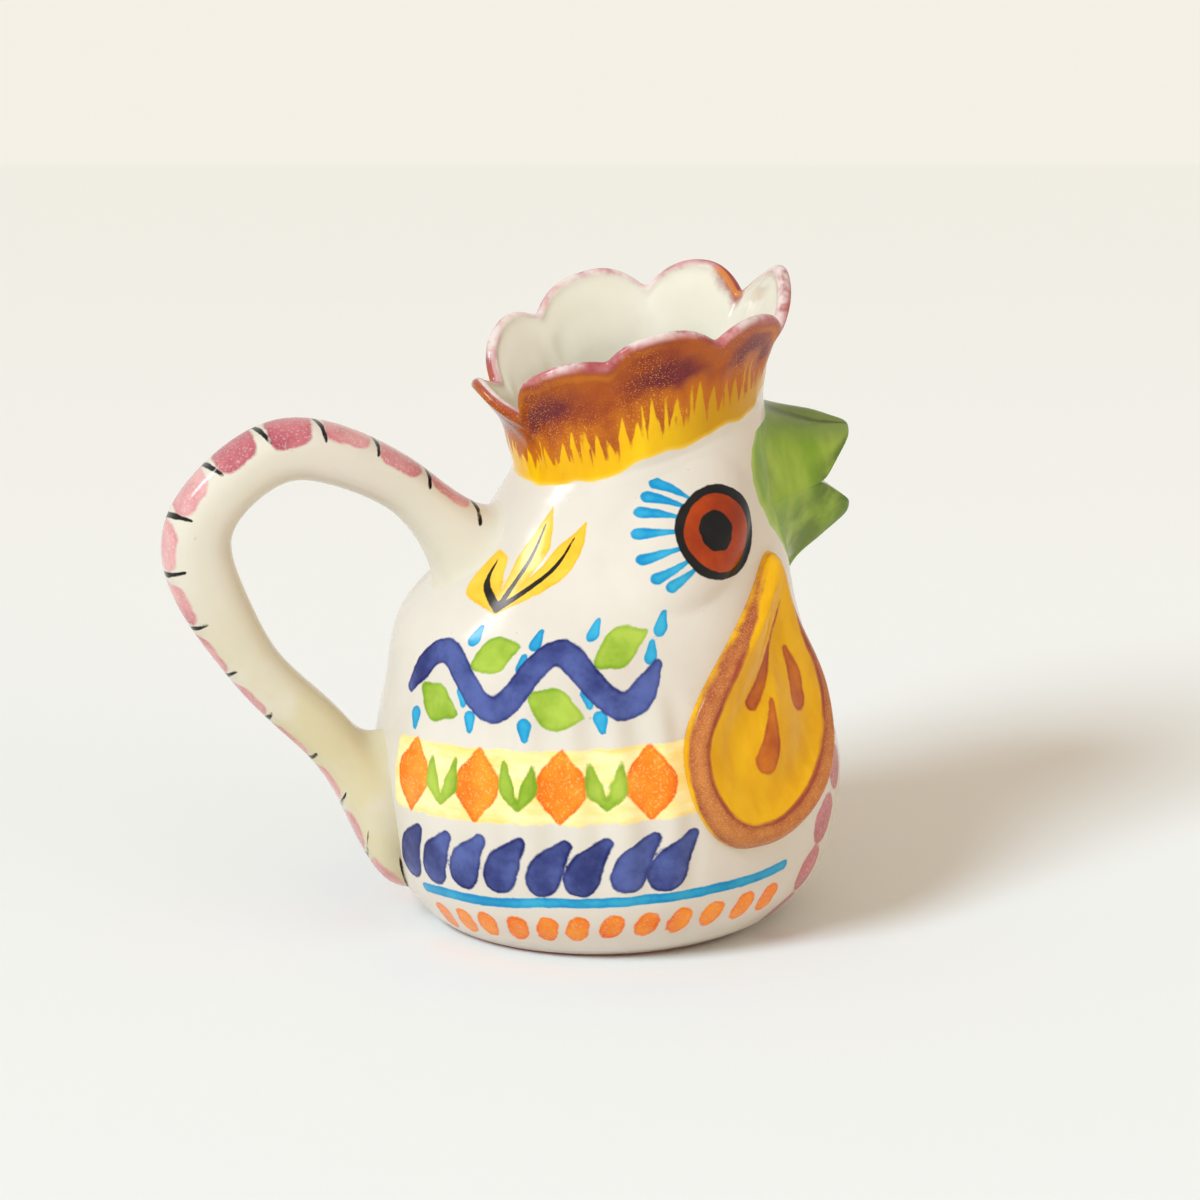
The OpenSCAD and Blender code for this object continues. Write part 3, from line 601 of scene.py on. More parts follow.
def make_handle():
    """The pulled handle, with its ends smeared onto the wall."""
    upper = skin(row_of(UPPER_ROOT_Z), 180, SLIP)
    lower = skin(row_of(LOWER_ROOT_Z), 180, SLIP)
    line = np.array([
        upper,
        [mix(upper[0], -HANDLE_TOP_BACK, 0.42), 0, mix(upper[2], HANDLE_TOP_Z, 0.67)],
        [-HANDLE_TOP_BACK, 0, HANDLE_TOP_Z],
        [-mix(HANDLE_TOP_BACK, HANDLE_REACH, 0.79), 0, mix(HANDLE_REACH_Z, HANDLE_TOP_Z, 0.6)],
        [-HANDLE_REACH, 0, HANDLE_REACH_Z],
        [mix(-HANDLE_REACH, lower[0], 0.29), 0, mix(HANDLE_REACH_Z, lower[2], 0.39)],
        [mix(-HANDLE_REACH, lower[0], 0.72), 0, mix(HANDLE_REACH_Z, lower[2], 0.71)],
        lower,
    ])
    thick = np.array([HANDLE_END_T, HANDLE_END_T, HANDLE_T, HANDLE_T, HANDLE_BEND_T,
                      mix(HANDLE_BEND_T, HANDLE_END_T, 0.8), HANDLE_END_T, HANDLE_END_T])[:, None]
    a = np.linspace(0, 2 * np.pi, HANDLE_SIDES, endpoint=False)
    c, s = np.cos(a)[:, None], np.sin(a)[:, None]
    full = 0.99 / (np.abs(c) ** STRAP_SQUARE + np.abs(s) ** STRAP_SQUARE) ** (1 / STRAP_SQUARE)

    def way(u):
        d = through(line, u + 0.01) - through(line, u - 0.01)
        return d / np.linalg.norm(d)

    def drawn(u):
        d = way(u)
        out = np.array([d[2], 0, -d[0]]) * through(thick, u) / 2
        return through(line, u) + full * (out * c + np.array([0, HANDLE_W / 2, 0]) * s)

    def smear(root, share, off):
        row_z, height, up = root[:3]
        u = row_of(row_z + up * np.cos(a) * share * height / 2)
        r = through(ROWS, u)[..., 2]
        return skin(u, 180 - np.degrees(share * np.sin(a) * ROOT_W / 2 / r), off)

    def flare(u_line, on, root, t):
        full_at, edge_share, meet_share = root[3:]
        start, edge = drawn(u_line), smear(root, edge_share, -0.3)
        reach = np.linalg.norm(edge - start, axis=1)
        knee = start + on * reach[:, None] * KNEE_SHARE
        over = smear(root, meet_share, SLIP + full_at * reach)
        return cubic(start, knee, over, edge, t)

    rings = [smear(UPPER_ROOT, share, -ROOT_TUCK) for share in (0.5, 1.0)]
    for t in np.linspace(1, 0, UPPER_ROWS)[:-1]:
        rings.append(flare(HANDLE_FROM, -way(HANDLE_FROM), UPPER_ROOT, t))
    rings += [drawn(u) for u in np.linspace(HANDLE_FROM, HANDLE_TO, HANDLE_ROWS)]
    for t in np.linspace(0, 1, LOWER_ROWS)[1:]:
        rings.append(flare(HANDLE_TO, way(HANDLE_TO), LOWER_ROOT, t))
    rings += [smear(LOWER_ROOT, share, -ROOT_TUCK) for share in (1.0, 0.5)]
    rings = np.stack(rings)
    # Ease the change from the flares to the drawn strap, and add the marks of the pulling hand
    soften_rings(rings, 3, len(rings) - 4, 6)
    away = rings - rings.mean(1, keepdims=True)
    away /= np.linalg.norm(away, axis=2, keepdims=True)
    rings[3:-3] += (away * 0.25 * waves(rings, 40, 8)[..., None])[3:-3]
    layers = paint_handle(rings, a)
    first, last = upper + (2, 0, 0), lower + (2, 0, 0)
    return loft("pulled_strap_handle", rings, first, last, "pulled_handle", "white_glaze", layers)


def paint_handle(rings, a):
    """Dabs along the handle's outer side, with a dark tick between each two."""
    steps = np.linalg.norm(np.diff(rings[:, 0], axis=0), axis=1)
    along = np.r_[0, np.cumsum(steps)][:, None] + 0 * a
    across = np.where(a > np.pi, a - 2 * np.pi, a)[None, :] * HANDLE_W / 2 * 0.92 + 0 * along
    paint = Paint(["pink", "rose", "black"], along.shape)
    rng = np.random.default_rng(21)
    ticks = np.linspace(18, along.max() - 14, TICKS)
    for k, s in enumerate(ticks):
        lean = rng.uniform(0.6, 2.0)
        tick = [(s - lean, -9.4 + rng.uniform(-1, 1)), (s, -2.5), (s + lean, 6.0)]
        paint.stroke("black", (along, across), tick, [0.5, 0.9, 0.6])
        if k + 1 < TICKS:
            middle = ((s + ticks[k + 1]) / 2, rng.uniform(-0.6, 0.6))
            wide = np.interp(k, [0, 3.5, 6, TICKS], [8.6, 11.6, 8.2, 6.6]) + rng.uniform(-0.6, 0.6)
            half = ((ticks[k + 1] - s) / 2 - 1.9 + rng.uniform(-0.4, 0.4), wide)
            paint.box("rose" if k in DEEP_DABS else "pink", (along + 0.1 * across, across), middle, half, 3.6)
    return paint.layers


PAD_SIDES, PAD_ROWS, PAD_EDGE_ROWS = 168, 44, 34
# Where a boss starts to run out into the head, where it ends and how soft its crease is
PAD_EDGE_FROM, PAD_EDGE_TO, PAD_FILLET = 0.86, 1.2, 0.32


def make_eye_pads():
    """Soft bosses that run out into the head with a gentle crease."""
    a = np.linspace(0, 2 * np.pi, PAD_SIDES, endpoint=False)[None, :]
    s = np.linspace(0.02, PAD_EDGE_FROM, PAD_ROWS)
    s = np.r_[s, np.linspace(PAD_EDGE_FROM, PAD_EDGE_TO, PAD_EDGE_ROWS)[1:]][:, None]
    dome = EYE_PAD_T * (1 - s**2.3)
    rise = PAD_FILLET * np.log1p(np.exp(dome / PAD_FILLET)) - 0.25 * ease((s - 1.12) / 0.08)
    width, height = EYE_PAD_W / 2, EYE_PAD_H / 2

    def place(share, off):
        return patch(EYE_PAD_Z, EYE_PAD_ANGLE, share * np.cos(a) * width, share * np.sin(a) * height, off)

    base, row_z, turn = place(s, 0)
    top = skin(row_of(row_z), turn, rise + body_relief(base, row_z, turn))
    low, low_z, low_turn = place(np.array([1.1, 0.6])[:, None], -PAD_TUCK)
    rings = np.concatenate([top, low])
    layers = paint_body(rings, np.concatenate([row_z, low_z]), np.concatenate([turn, low_turn]))
    layers["inside"] = np.zeros(rings.shape[:2])
    first, last = top[0].mean(0), place(np.zeros((1, 1)), -PAD_TUCK)[0][0, 0]
    return loft_pair("eye_boss", rings, first, last, "eye_pad", "white_glaze", layers)


WATTLE_SIDES, CREST_AT = 220, 0.85
# Thickness from a wattle's middle out to the crest of its rim, at even steps
WATTLE_DISH = [[3.4], [3.2], [2.5], [1.9], [2.4], [4.2], [WATTLE_RIM_T + 0.2]]
# Along the height of a wattle: yellow left outside the brown band at its back, and the band's widths
BAND_ROWS = [-31, -24, -10, 10, 26, 33, 38]
BACK_EDGE = [0.2, 0.5, 0.4, 0.3, 0.1, 0.1, 0.1]
BACK_BAND = [7.3, 7.5, 5.2, 3.7, 2.0, 0.8, 0.1]
FRONT_BAND = [7.4, 7.4, 7.2, 6.6, 4.2, 2.2, 0.5]
FRONT_EDGE = 0.5
# Strokes in the middle of a wattle: the points of each on the flat and its half widths there
WATTLE_STROKES = [
    ([(6.2, 22.5), (0.8, 15.4), (-6.6, 8.8)], [0.5, 1.9, 2.1]),
    ([(12.0, 20.0), (14.2, 12.5), (13.6, 6.0)], [0.8, 2.6, 3.3]),
    ([(0.9, 8.6), (-3.2, -2.0), (-6.2, -7.2)], [0.6, 3.1, 3.9]),
    ([(12.8, 37), (9.6, 29.0), (6.6, 22.5)], [0.1, 0.3, 0.3]),
]


def wattle_middle(b):
    """How far forward the middle of a wattle lies at a height over its widest line."""
    return (WATTLE_LEAN - WATTLE_CURL * np.maximum(b, 0)) * b


def wattle_edge():
    """The teardrop's outline with its blunt top, at even steps."""
    a = np.linspace(0, 2 * np.pi, 4 * WATTLE_SIDES, endpoint=False)
    sine, cosine = np.sin(a), np.cos(a)
    rise = np.maximum(sine, 0)
    b = np.where(sine > 0, WATTLE_RISE, WATTLE_DROP) * sine
    blunt = WATTLE_TIP_W * np.sqrt(1 - rise**24)
    width = mix(blunt, WATTLE_W, np.abs(cosine) ** np.where(sine > 0, 3.8, 1.3))
    edge = np.stack([np.sign(cosine) * width / 2 + wattle_middle(b), b], -1)
    closed = np.vstack([edge, edge[:1]])
    steps = np.r_[0, np.cumsum(np.linalg.norm(np.diff(closed, axis=0), axis=1))]
    even = np.linspace(0, steps[-1], WATTLE_SIDES, endpoint=False)
    edge = np.stack([np.interp(even, steps, closed[:, k]) for k in (0, 1)], -1)
    return soften(edge, 8)


def paint_wattle(flat, edge):
    """A brown band inside the edge, two strokes and a drop."""
    a, b = flat[..., 0], flat[..., 1]
    inset = np.min(np.hypot(a[..., None] - edge[:, 0], b[..., None] - edge[:, 1]), -1)
    paint = Paint(["mark"], inset.shape)
    for line, widths in WATTLE_STROKES:
        paint.stroke("mark", (a, b), line, widths)
    front = ease((a - wattle_middle(b)) / 12 + 0.5)
    start = mix(np.interp(b, BAND_ROWS, BACK_EDGE), FRONT_EDGE, front)
    stop = start + mix(np.interp(b, BAND_ROWS, BACK_BAND), np.interp(b, BAND_ROWS, FRONT_BAND), front)
    line = np.abs(inset - stop) + 3 * ease((b - 22) / 10)
    return {"mark": paint.layers["mark"], "band": np.maximum(start - inset, inset - stop), "line": line}


def make_wattles():
    """Dished teardrops with a rounded rim."""
    edge = wattle_edge()
    fall = CREST_AT + (1 - CREST_AT) * np.sin(np.linspace(0, np.pi / 2, 26))
    s = np.r_[np.linspace(0.02, 0.5, 14), np.linspace(0.5, CREST_AT, 24)[1:], fall[1:]]
    dish = through(WATTLE_DISH, np.minimum(s / CREST_AT, 1) * (len(WATTLE_DISH) - 1))[:, 0]
    over = np.sqrt(np.clip(1 - ((s - CREST_AT) / (1 - CREST_AT)) ** 2, 0, 1))
    rise = np.where(s < CREST_AT, dish, mix(-0.3, WATTLE_RIM_T + 0.2, over)) + SLIP

    def place(share, off):
        flat = share[:, None, None] * edge[None]
        return patch(WATTLE_Z, WATTLE_ANGLE, flat[..., 0], flat[..., 1], off)[0], flat

    top, top_flat = place(s, rise[:, None])
    low, low_flat = place(np.array([0.94, 0.5]), -WATTLE_TUCK)
    rings = np.concatenate([top, low])
    layers = paint_wattle(np.concatenate([top_flat, low_flat]), edge)
    first, last = top[0].mean(0), place(np.zeros(1), -WATTLE_TUCK)[0][0, 0]
    return loft_pair("teardrop_wattle", rings, first, last, "wattle", "wattle_glaze", layers)


MOUTH_FRONT = skin(row_of(MOUTH_Z), 0, 0)
GAPE_X = UPPER_TIP_X - GAPE_DEPTH
BEAK_ROWS, TIP_ROWS, CAP_ROWS, CREASE_ANGLE = 26, 15, 9, 40
# How far the sides run towards the beak's corner, and how much of the rest its tip is cut back
TIP_SHARE, TIP_BLUNT = 0.6, 0.45
# Fall of the ridge from its middle to its edges, and how far the halves run into each other
RIDGE_FALL, BEAK_LAP = 3.0, 0.3


def beak_outline(soft_low, soft_high, per_corner=9, per_side=22):
    """Way round a cross-section, as shares across and up, with its corners rounded."""
    corners = [(-1, 0, soft_low), (1, 0, soft_low), (1, 1, soft_high), (-1, 1, soft_high)]
    points = []
    for k, (s, v, soft) in enumerate(corners):
        level = soft / 2 if v == 0 else 1 - soft / 2
        for t in np.radians(np.linspace(180 + 90 * k, 270 + 90 * k, per_corner)):
            points.append((s * (1 - soft) + soft * np.cos(t), level + soft / 2 * np.sin(t)))
    points = np.array(points + points[:1])
    steps = np.r_[0, np.cumsum(np.hypot(np.diff(points[:, 0]), 2 * np.diff(points[:, 1])))]
    even = np.linspace(0, steps[-1], 4 * (per_corner + per_side), endpoint=False)
    return np.interp(even, steps, points[:, 0]), np.interp(even, steps, points[:, 1])


def make_beak(name, node, root, gape, corner, outline, ridge_bend, ridge_line_and_shade):
    """One half of the beak, which leaves the face at a tangent and ends in a blunt tip."""
    s, v = outline
    (r, out), g, corner = root(s, v), gape(s, v), np.array(corner)
    share = mix(0.5, ridge_bend, v**3)[:, None]
    bend = r + share * (g - r - out * np.sum((g - r) * out, 1, keepdims=True))

    def tucked(share):
        """The hidden end, which follows the curve of the wall inside its thickness."""
        face, face_out = root(s * share, mix(0.5, v, share))
        return face - face_out * BEAK_TUCK

    rings = [tucked(0.5), tucked(1.0)]
    for u in np.linspace(0, 1, BEAK_ROWS):
        rings.append((1 - u) ** 2 * r + 2 * u * (1 - u) * bend + u**2 * g)
    rings += [mix(g, corner, u) for u in np.linspace(0, TIP_SHARE, TIP_ROWS)[1:]]
    rings = np.stack(rings)
    soften_rings(rings, 4, len(rings) - 2, 10)
    # The sides run towards one corner, and the tip rounds it off
    last, middle = rings[-1], rings[-1].mean(0)
    nose = mix(corner, middle, TIP_BLUNT)
    leave = mix(last, corner, 0.35)
    meet = nose + (last - middle) * 0.8 * TIP_BLUNT
    for u in np.linspace(0, 1, CAP_ROWS + 2)[1:-1]:
        cap = cubic(last, leave, meet, nose, u)
        rings = np.concatenate([rings, cap[None]])
    along = np.linspace(0, 1, len(rings))[:, None] + 0 * s
    layers = ridge_line_and_shade(s + 0 * along, v + 0 * along, along)
    piece = loft(name, rings, tucked(0.0)[0], nose, node, "beak_glaze", layers)
    # The ridge and the faces that meet at the mouth stay crisp
    piece.data.set_sharp_from_angle(angle=np.radians(CREASE_ANGLE))
    return piece


def make_beaks():
    """The two halves, whose sides stand upright at the mouth and curve in to the ridge and the chin."""
    def stack(x, y, z):
        return np.stack(np.broadcast_arrays(x, y, z), -1)

    def on_face(z, angle):
        points = skin(row_of(z), angle, -0.1)
        return points, skin(row_of(z), angle, 0.9) - points

    def upper_root(s, v):
        spread = np.maximum(BEAK_SPREAD * np.clip(1 - v * v, 0, 1) ** 0.35, np.degrees(RIDGE_W / NECK_D))
        return on_face(mix(MOUTH_Z - BEAK_LAP, BROW_Z, v), s * spread)

    def upper_gape(s, v):
        half = mix(GAPE_W, RIDGE_W, v**1.7) / 2
        fall = RIDGE_FALL * s * s * ease((v - 0.8) / 0.2)
        z = mix(MOUTH_FRONT[2] - BEAK_LAP, UPPER_TIP_Z + 4.6, v) - fall
        return stack(GAPE_X - 1.5 * v, s * half, z)

    def lower_root(s, v):
        spread = BEAK_SPREAD * mix(v, 1 - (1 - v) ** 2, 0.3)
        return on_face(mix(CHIN_Z, MOUTH_Z, v), s * np.maximum(spread, np.degrees(RIDGE_W / SHOULDER_D)))

    def lower_gape(s, v):
        half = mix(RIDGE_W, GAPE_W, 1 - (1 - v) ** 1.7) / 2
        return stack(GAPE_X - 1 + 0 * v, s * half, mix(MOUTH_FRONT[2] - 20, MOUTH_FRONT[2], v))

    # The dark line along the ridge, and painted shade along the mouth from midway to the tip
    def upper_ridge_line_and_shade(s, v, along):
        edge = np.maximum((1 - np.abs(s)) * RIDGE_W / 2, (1 - v) * (BROW_Z - MOUTH_Z))
        return {"edge": edge, "dark": ease((along - 0.42) / 0.14) * ease((0.42 - v) / 0.3)}

    # Painted shade along the mouth from midway to the tip, and darker towards the bottom of the lower half
    def lower_mouth_shade_and_darker_base(s, v, along):
        mouth_shade = ease((along - 0.42) / 0.12) * ease((v - 0.5) / 0.35)
        return {"edge": 0 * v + FAR, "dark": np.maximum(mouth_shade, 0.8 * ease((1.02 - v) / 0.35))}

    upper_corner = (UPPER_TIP_X + 2.2, 0, UPPER_TIP_Z - 0.6)
    lower_corner = (LOWER_TIP_X + 1.8, 0, LOWER_TIP_Z - 2.8)
    upper_form = (upper_root, upper_gape, upper_corner, beak_outline(0.01, 0.1), 0.1, upper_ridge_line_and_shade)
    lower_form = (lower_root, lower_gape, lower_corner, beak_outline(0.5, 0.01), 0.5, lower_mouth_shade_and_darker_base)
    upper = make_beak("upper_bill", "upper_beak", *upper_form)
    lower = make_beak("lower_bill", "lower_beak", *lower_form)
    return upper, lower


# Materials
def tint(red, green, blue):
    """A colour written as it shows on a screen, made linear."""
    c = np.array([red, green, blue]) / 255
    return tuple(np.where(c <= 0.04045, c / 12.92, ((c + 0.055) / 1.055) ** 2.4)) + (1.0,)


class Graph:
    """Short ways to add shader nodes to a material."""

    def __init__(self, name):
        self.material = bpy.data.materials.new(name)
        self.material.use_nodes = True
        self.tree = self.material.node_tree
        self.shader = self.tree.nodes["Principled BSDF"]
        self.place = self.node("ShaderNodeTexCoord").outputs["Object"]

    def node(self, kind, **settings):
        node = self.tree.nodes.new(kind)
        for key, value in settings.items():
            setattr(node, key, value)
        return node

    def join(self, value, socket):
        if isinstance(value, bpy.types.NodeSocket):
            self.tree.links.new(value, socket)
        else:
            socket.default_value = value

    def attribute(self, name):
        return self.node("ShaderNodeAttribute", attribute_name=name).outputs["Fac"]

    def made(self, kind, values, **settings):
        """The first output of a new node, whose inputs are set or linked by name or number."""
        node = self.node(kind, **settings)
        for key, value in values.items():
            self.join(value, node.inputs[key])
        return node.outputs[0]

    def axis(self, k):
        """One coordinate of the place on the object, in metres."""
        node = self.node("ShaderNodeSeparateXYZ")
        self.join(self.place, node.inputs[0])
        return node.outputs[k]

    def math(self, operation, a, b=0.0, clamp=False):
        return self.made("ShaderNodeMath", {0: a, 1: b}, operation=operation, use_clamp=clamp)

    def span(self, value, low, high, to_low=0.0, to_high=1.0):
        values = dict(enumerate((value, low, high, to_low, to_high)))
        return self.made("ShaderNodeMapRange", values, interpolation_type="SMOOTHSTEP")

    def stretch(self, vector, scale):
        return self.made("ShaderNodeMapping", {"Vector": vector, "Scale": scale})

    def combine(self, x, y, z=0.0):
        return self.made("ShaderNodeCombineXYZ", {0: x, 1: y, 2: z})

    def noise(self, scale, detail=2.0, rough=0.5, vector=None):
        vector = self.place if vector is None else vector
        values = {"Vector": vector, "Scale": scale, "Detail": detail, "Roughness": rough}
        return self.made("ShaderNodeTexNoise", values)

    def shaken(self, layer, scale, reach, detail=3.0):
        """A painted layer's distance with an uneven edge."""
        shake = self.math("SUBTRACT", self.noise(scale, detail, 0.6), 0.5)
        return self.math("ADD", self.attribute(layer), self.math("MULTIPLY", shake, reach))

    def mix(self, factor, a, b):
        node = self.node("ShaderNodeMix", data_type="RGBA")
        self.join(factor, node.inputs[0])
        self.join(a, node.inputs[6])
        self.join(b, node.inputs[7])
        return node.outputs[2]

    def glaze(self, colour, rough=(0.12, 0.22), relief=0.35):
        """A glossy glaze with slight waves, pinholes and uneven gloss."""
        self.join(colour, self.shader.inputs["Base Color"])
        self.join(self.span(self.noise(38, 3), 0.35, 0.7, *rough), self.shader.inputs["Roughness"])
        self.shader.inputs["IOR"].default_value = 1.5
        self.shader.inputs["Specular IOR Level"].default_value = GLOSS
        height = self.math("ADD", self.noise(70, 2), self.math("MULTIPLY", self.noise(420, 2), 0.12))
        bump = self.node("ShaderNodeBump")
        bump.inputs["Strength"].default_value = relief
        bump.inputs["Distance"].default_value = 0.0006
        self.join(height, bump.inputs["Height"])
        self.join(bump.outputs[0], self.shader.inputs["Normal"])
        return self.material


# Slope of the beak's ridge, and the height over that slope at which its green turns grey, in metres
RIDGE_SLOPE, RIDGE_GREY = 0.28, 0.161
# Strength of the glaze's reflections
GLOSS = 0.2


def brush(g, under, layer, thin, thick, soft=0.28, ragged=0.5, grain=(1, 1, 1), cover=1.0, pool=0.4,
          bare=0.0):
    """One painted layer: watery pigment with uneven density and darker pooled edges."""
    d = g.shaken(layer, 260, 2.4 * ragged)
    shape = g.span(d, soft, -soft, 0.0, cover)
    density = g.span(g.noise(75, 4, 0.6, g.stretch(g.place, grain)), 0.3, 0.72, 0.0, 0.85)
    density = g.math("ADD", density, g.span(d, -1.5, -0.15, 0.0, pool), clamp=True)
    if bare:
        grains = g.span(g.noise(1300, 1), 0.54, 0.7, 0.0, bare)
        shape = g.math("MULTIPLY", shape, g.math("SUBTRACT", 1.0, grains))
    return g.mix(shape, under, g.mix(density, thin, thick))


def white_ground(g):
    """Cream tin glaze, a little uneven, with rare specks."""
    cream = g.mix(g.span(g.noise(24, 3), 0.3, 0.75), tint(220, 209, 194), tint(210, 199, 183))
    blush = g.span(g.noise(46, 3, 0.6), 0.58, 0.82, 0.0, 0.4)
    cream = g.mix(blush, cream, tint(212, 188, 178))
    speck = g.span(g.noise(520, 1), 0.77, 0.82, 0.0, 0.3)
    return g.mix(speck, cream, tint(150, 125, 105))


def inner_ground(g):
    """The glaze inside, a little paler."""
    return g.mix(g.span(g.noise(30, 3), 0.3, 0.7), tint(227, 218, 199), tint(219, 210, 189))


def gold_hem(g, under):
    """Golden yellow over the comb's foot, deeper where it has run and towards the beak, thin at its edge."""
    streaks = g.noise(90, 3, 0.6, g.stretch(g.place, (1, 1, 0.3)))
    gold = g.mix(g.span(streaks, 0.3, 0.72), tint(244, 194, 14), tint(234, 170, 4))
    gold = g.mix(g.span(g.noise(160, 3, 0.6), 0.56, 0.85, 0.0, 0.4), gold, tint(214, 138, 6))
    gold = g.mix(g.span(g.axis(0), 0.0, 0.028, 0.0, 0.85), gold, tint(194, 138, 2))
    edge = g.shaken("gold", 90, 1.8)
    gold = g.mix(g.span(edge, -1.6, -0.2, 0.0, 0.5), gold, tint(240, 200, 74))
    return g.mix(g.span(edge, 0.4, -0.4), under, gold)


def beak_wash(g):
    """Watery yellow-green in upright streaks, greyer towards the ridge."""
    streak = g.noise(62, 3, 0.6, g.stretch(g.place, (1, 1, 0.35)))
    green = g.mix(g.span(streak, 0.3, 0.7), tint(166, 186, 74), tint(124, 158, 40))
    green = g.mix(g.span(g.noise(46, 3, 0.6), 0.48, 0.75, 0.0, 0.7), green, tint(118, 142, 66))
    ridge = g.math("ADD", g.axis(2), g.math("MULTIPLY", g.axis(0), RIDGE_SLOPE))
    top = g.span(ridge, RIDGE_GREY - 0.006, RIDGE_GREY + 0.004, 0.0, 0.75)
    return g.mix(top, green, tint(118, 138, 86))


BRUSHWORK = {
    "wash": dict(thin=tint(249, 231, 166), thick=tint(246, 209, 100), soft=0.5, ragged=1.0,
                 grain=(1, 1, 3.5), pool=0.25, cover=0.92),
    "leaf": dict(thin=tint(246, 202, 70), thick=tint(236, 174, 28), soft=0.35, ragged=0.6),
    "orange": dict(thin=tint(248, 150, 40), thick=tint(234, 102, 8), soft=0.35, ragged=0.8, bare=0.25),
    "green": dict(thin=tint(172, 192, 72), thick=tint(122, 156, 32), soft=0.35, ragged=0.7),
    "aqua": dict(thin=tint(60, 172, 204), thick=tint(8, 132, 180), soft=0.25, ragged=0.35),
    "blue": dict(thin=tint(84, 96, 154), thick=tint(28, 34, 92), soft=0.35, ragged=0.6),
    "pink": dict(thin=tint(224, 166, 162), thick=tint(192, 104, 112), soft=0.6, ragged=0.8,
                 cover=0.95, pool=0.15, bare=0.4),
    "rose": dict(thin=tint(198, 110, 116), thick=tint(160, 58, 78), soft=0.6, ragged=0.8,
                 cover=0.97, pool=0.15, bare=0.3),
    "iris": dict(thin=tint(178, 66, 14), thick=tint(138, 42, 8), soft=0.25, ragged=0.3, pool=0.2),
    "black": dict(thin=tint(34, 30, 27), thick=tint(12, 11, 10), soft=0.22, ragged=0.35, pool=0.1),
}
BODY_BRUSHES = ["wash", "leaf", "orange", "green", "aqua", "blue", "rose", "iris", "black"]
HANDLE_BRUSHES = ["pink", "rose", "black"]


def body_glaze():
    """The white glaze with its brushwork, the comb's hem and the edge of the beak's green."""
    g = Graph("painted_white_glaze")
    colour = g.mix(g.attribute("inside"), white_ground(g), inner_ground(g))
    for layer in BODY_BRUSHES:
        colour = brush(g, colour, layer, **BRUSHWORK[layer])
    colour = gold_hem(g, colour)
    bill = g.shaken("bill", 120, 2.0)
    edge = g.mix(g.span(bill, -3.5, -0.3, 0.0, 0.6), beak_wash(g), tint(178, 200, 98))
    return g.glaze(g.mix(g.span(bill, 0.35, -0.35), colour, edge))


def handle_glaze():
    """The white glaze with the handle's dabs and ticks, and painted shade on its lower part."""
    g = Graph("handle_white_glaze")
    colour = g.mix(g.span(g.noise(16, 2), 0.3, 0.65, 0.0, 0.4), white_ground(g), tint(216, 209, 182))
    # Darker, yellower glaze towards the handle's lower end: painted shade
    low = g.span(g.axis(2), 0.12, 0.055, 0.0, 0.8)
    colour = g.mix(g.math("MULTIPLY", low, g.span(g.noise(40, 3), 0.3, 0.6)), colour, tint(206, 192, 146))
    for layer in HANDLE_BRUSHES:
        colour = brush(g, colour, layer, **BRUSHWORK[layer])
    return g.glaze(colour)


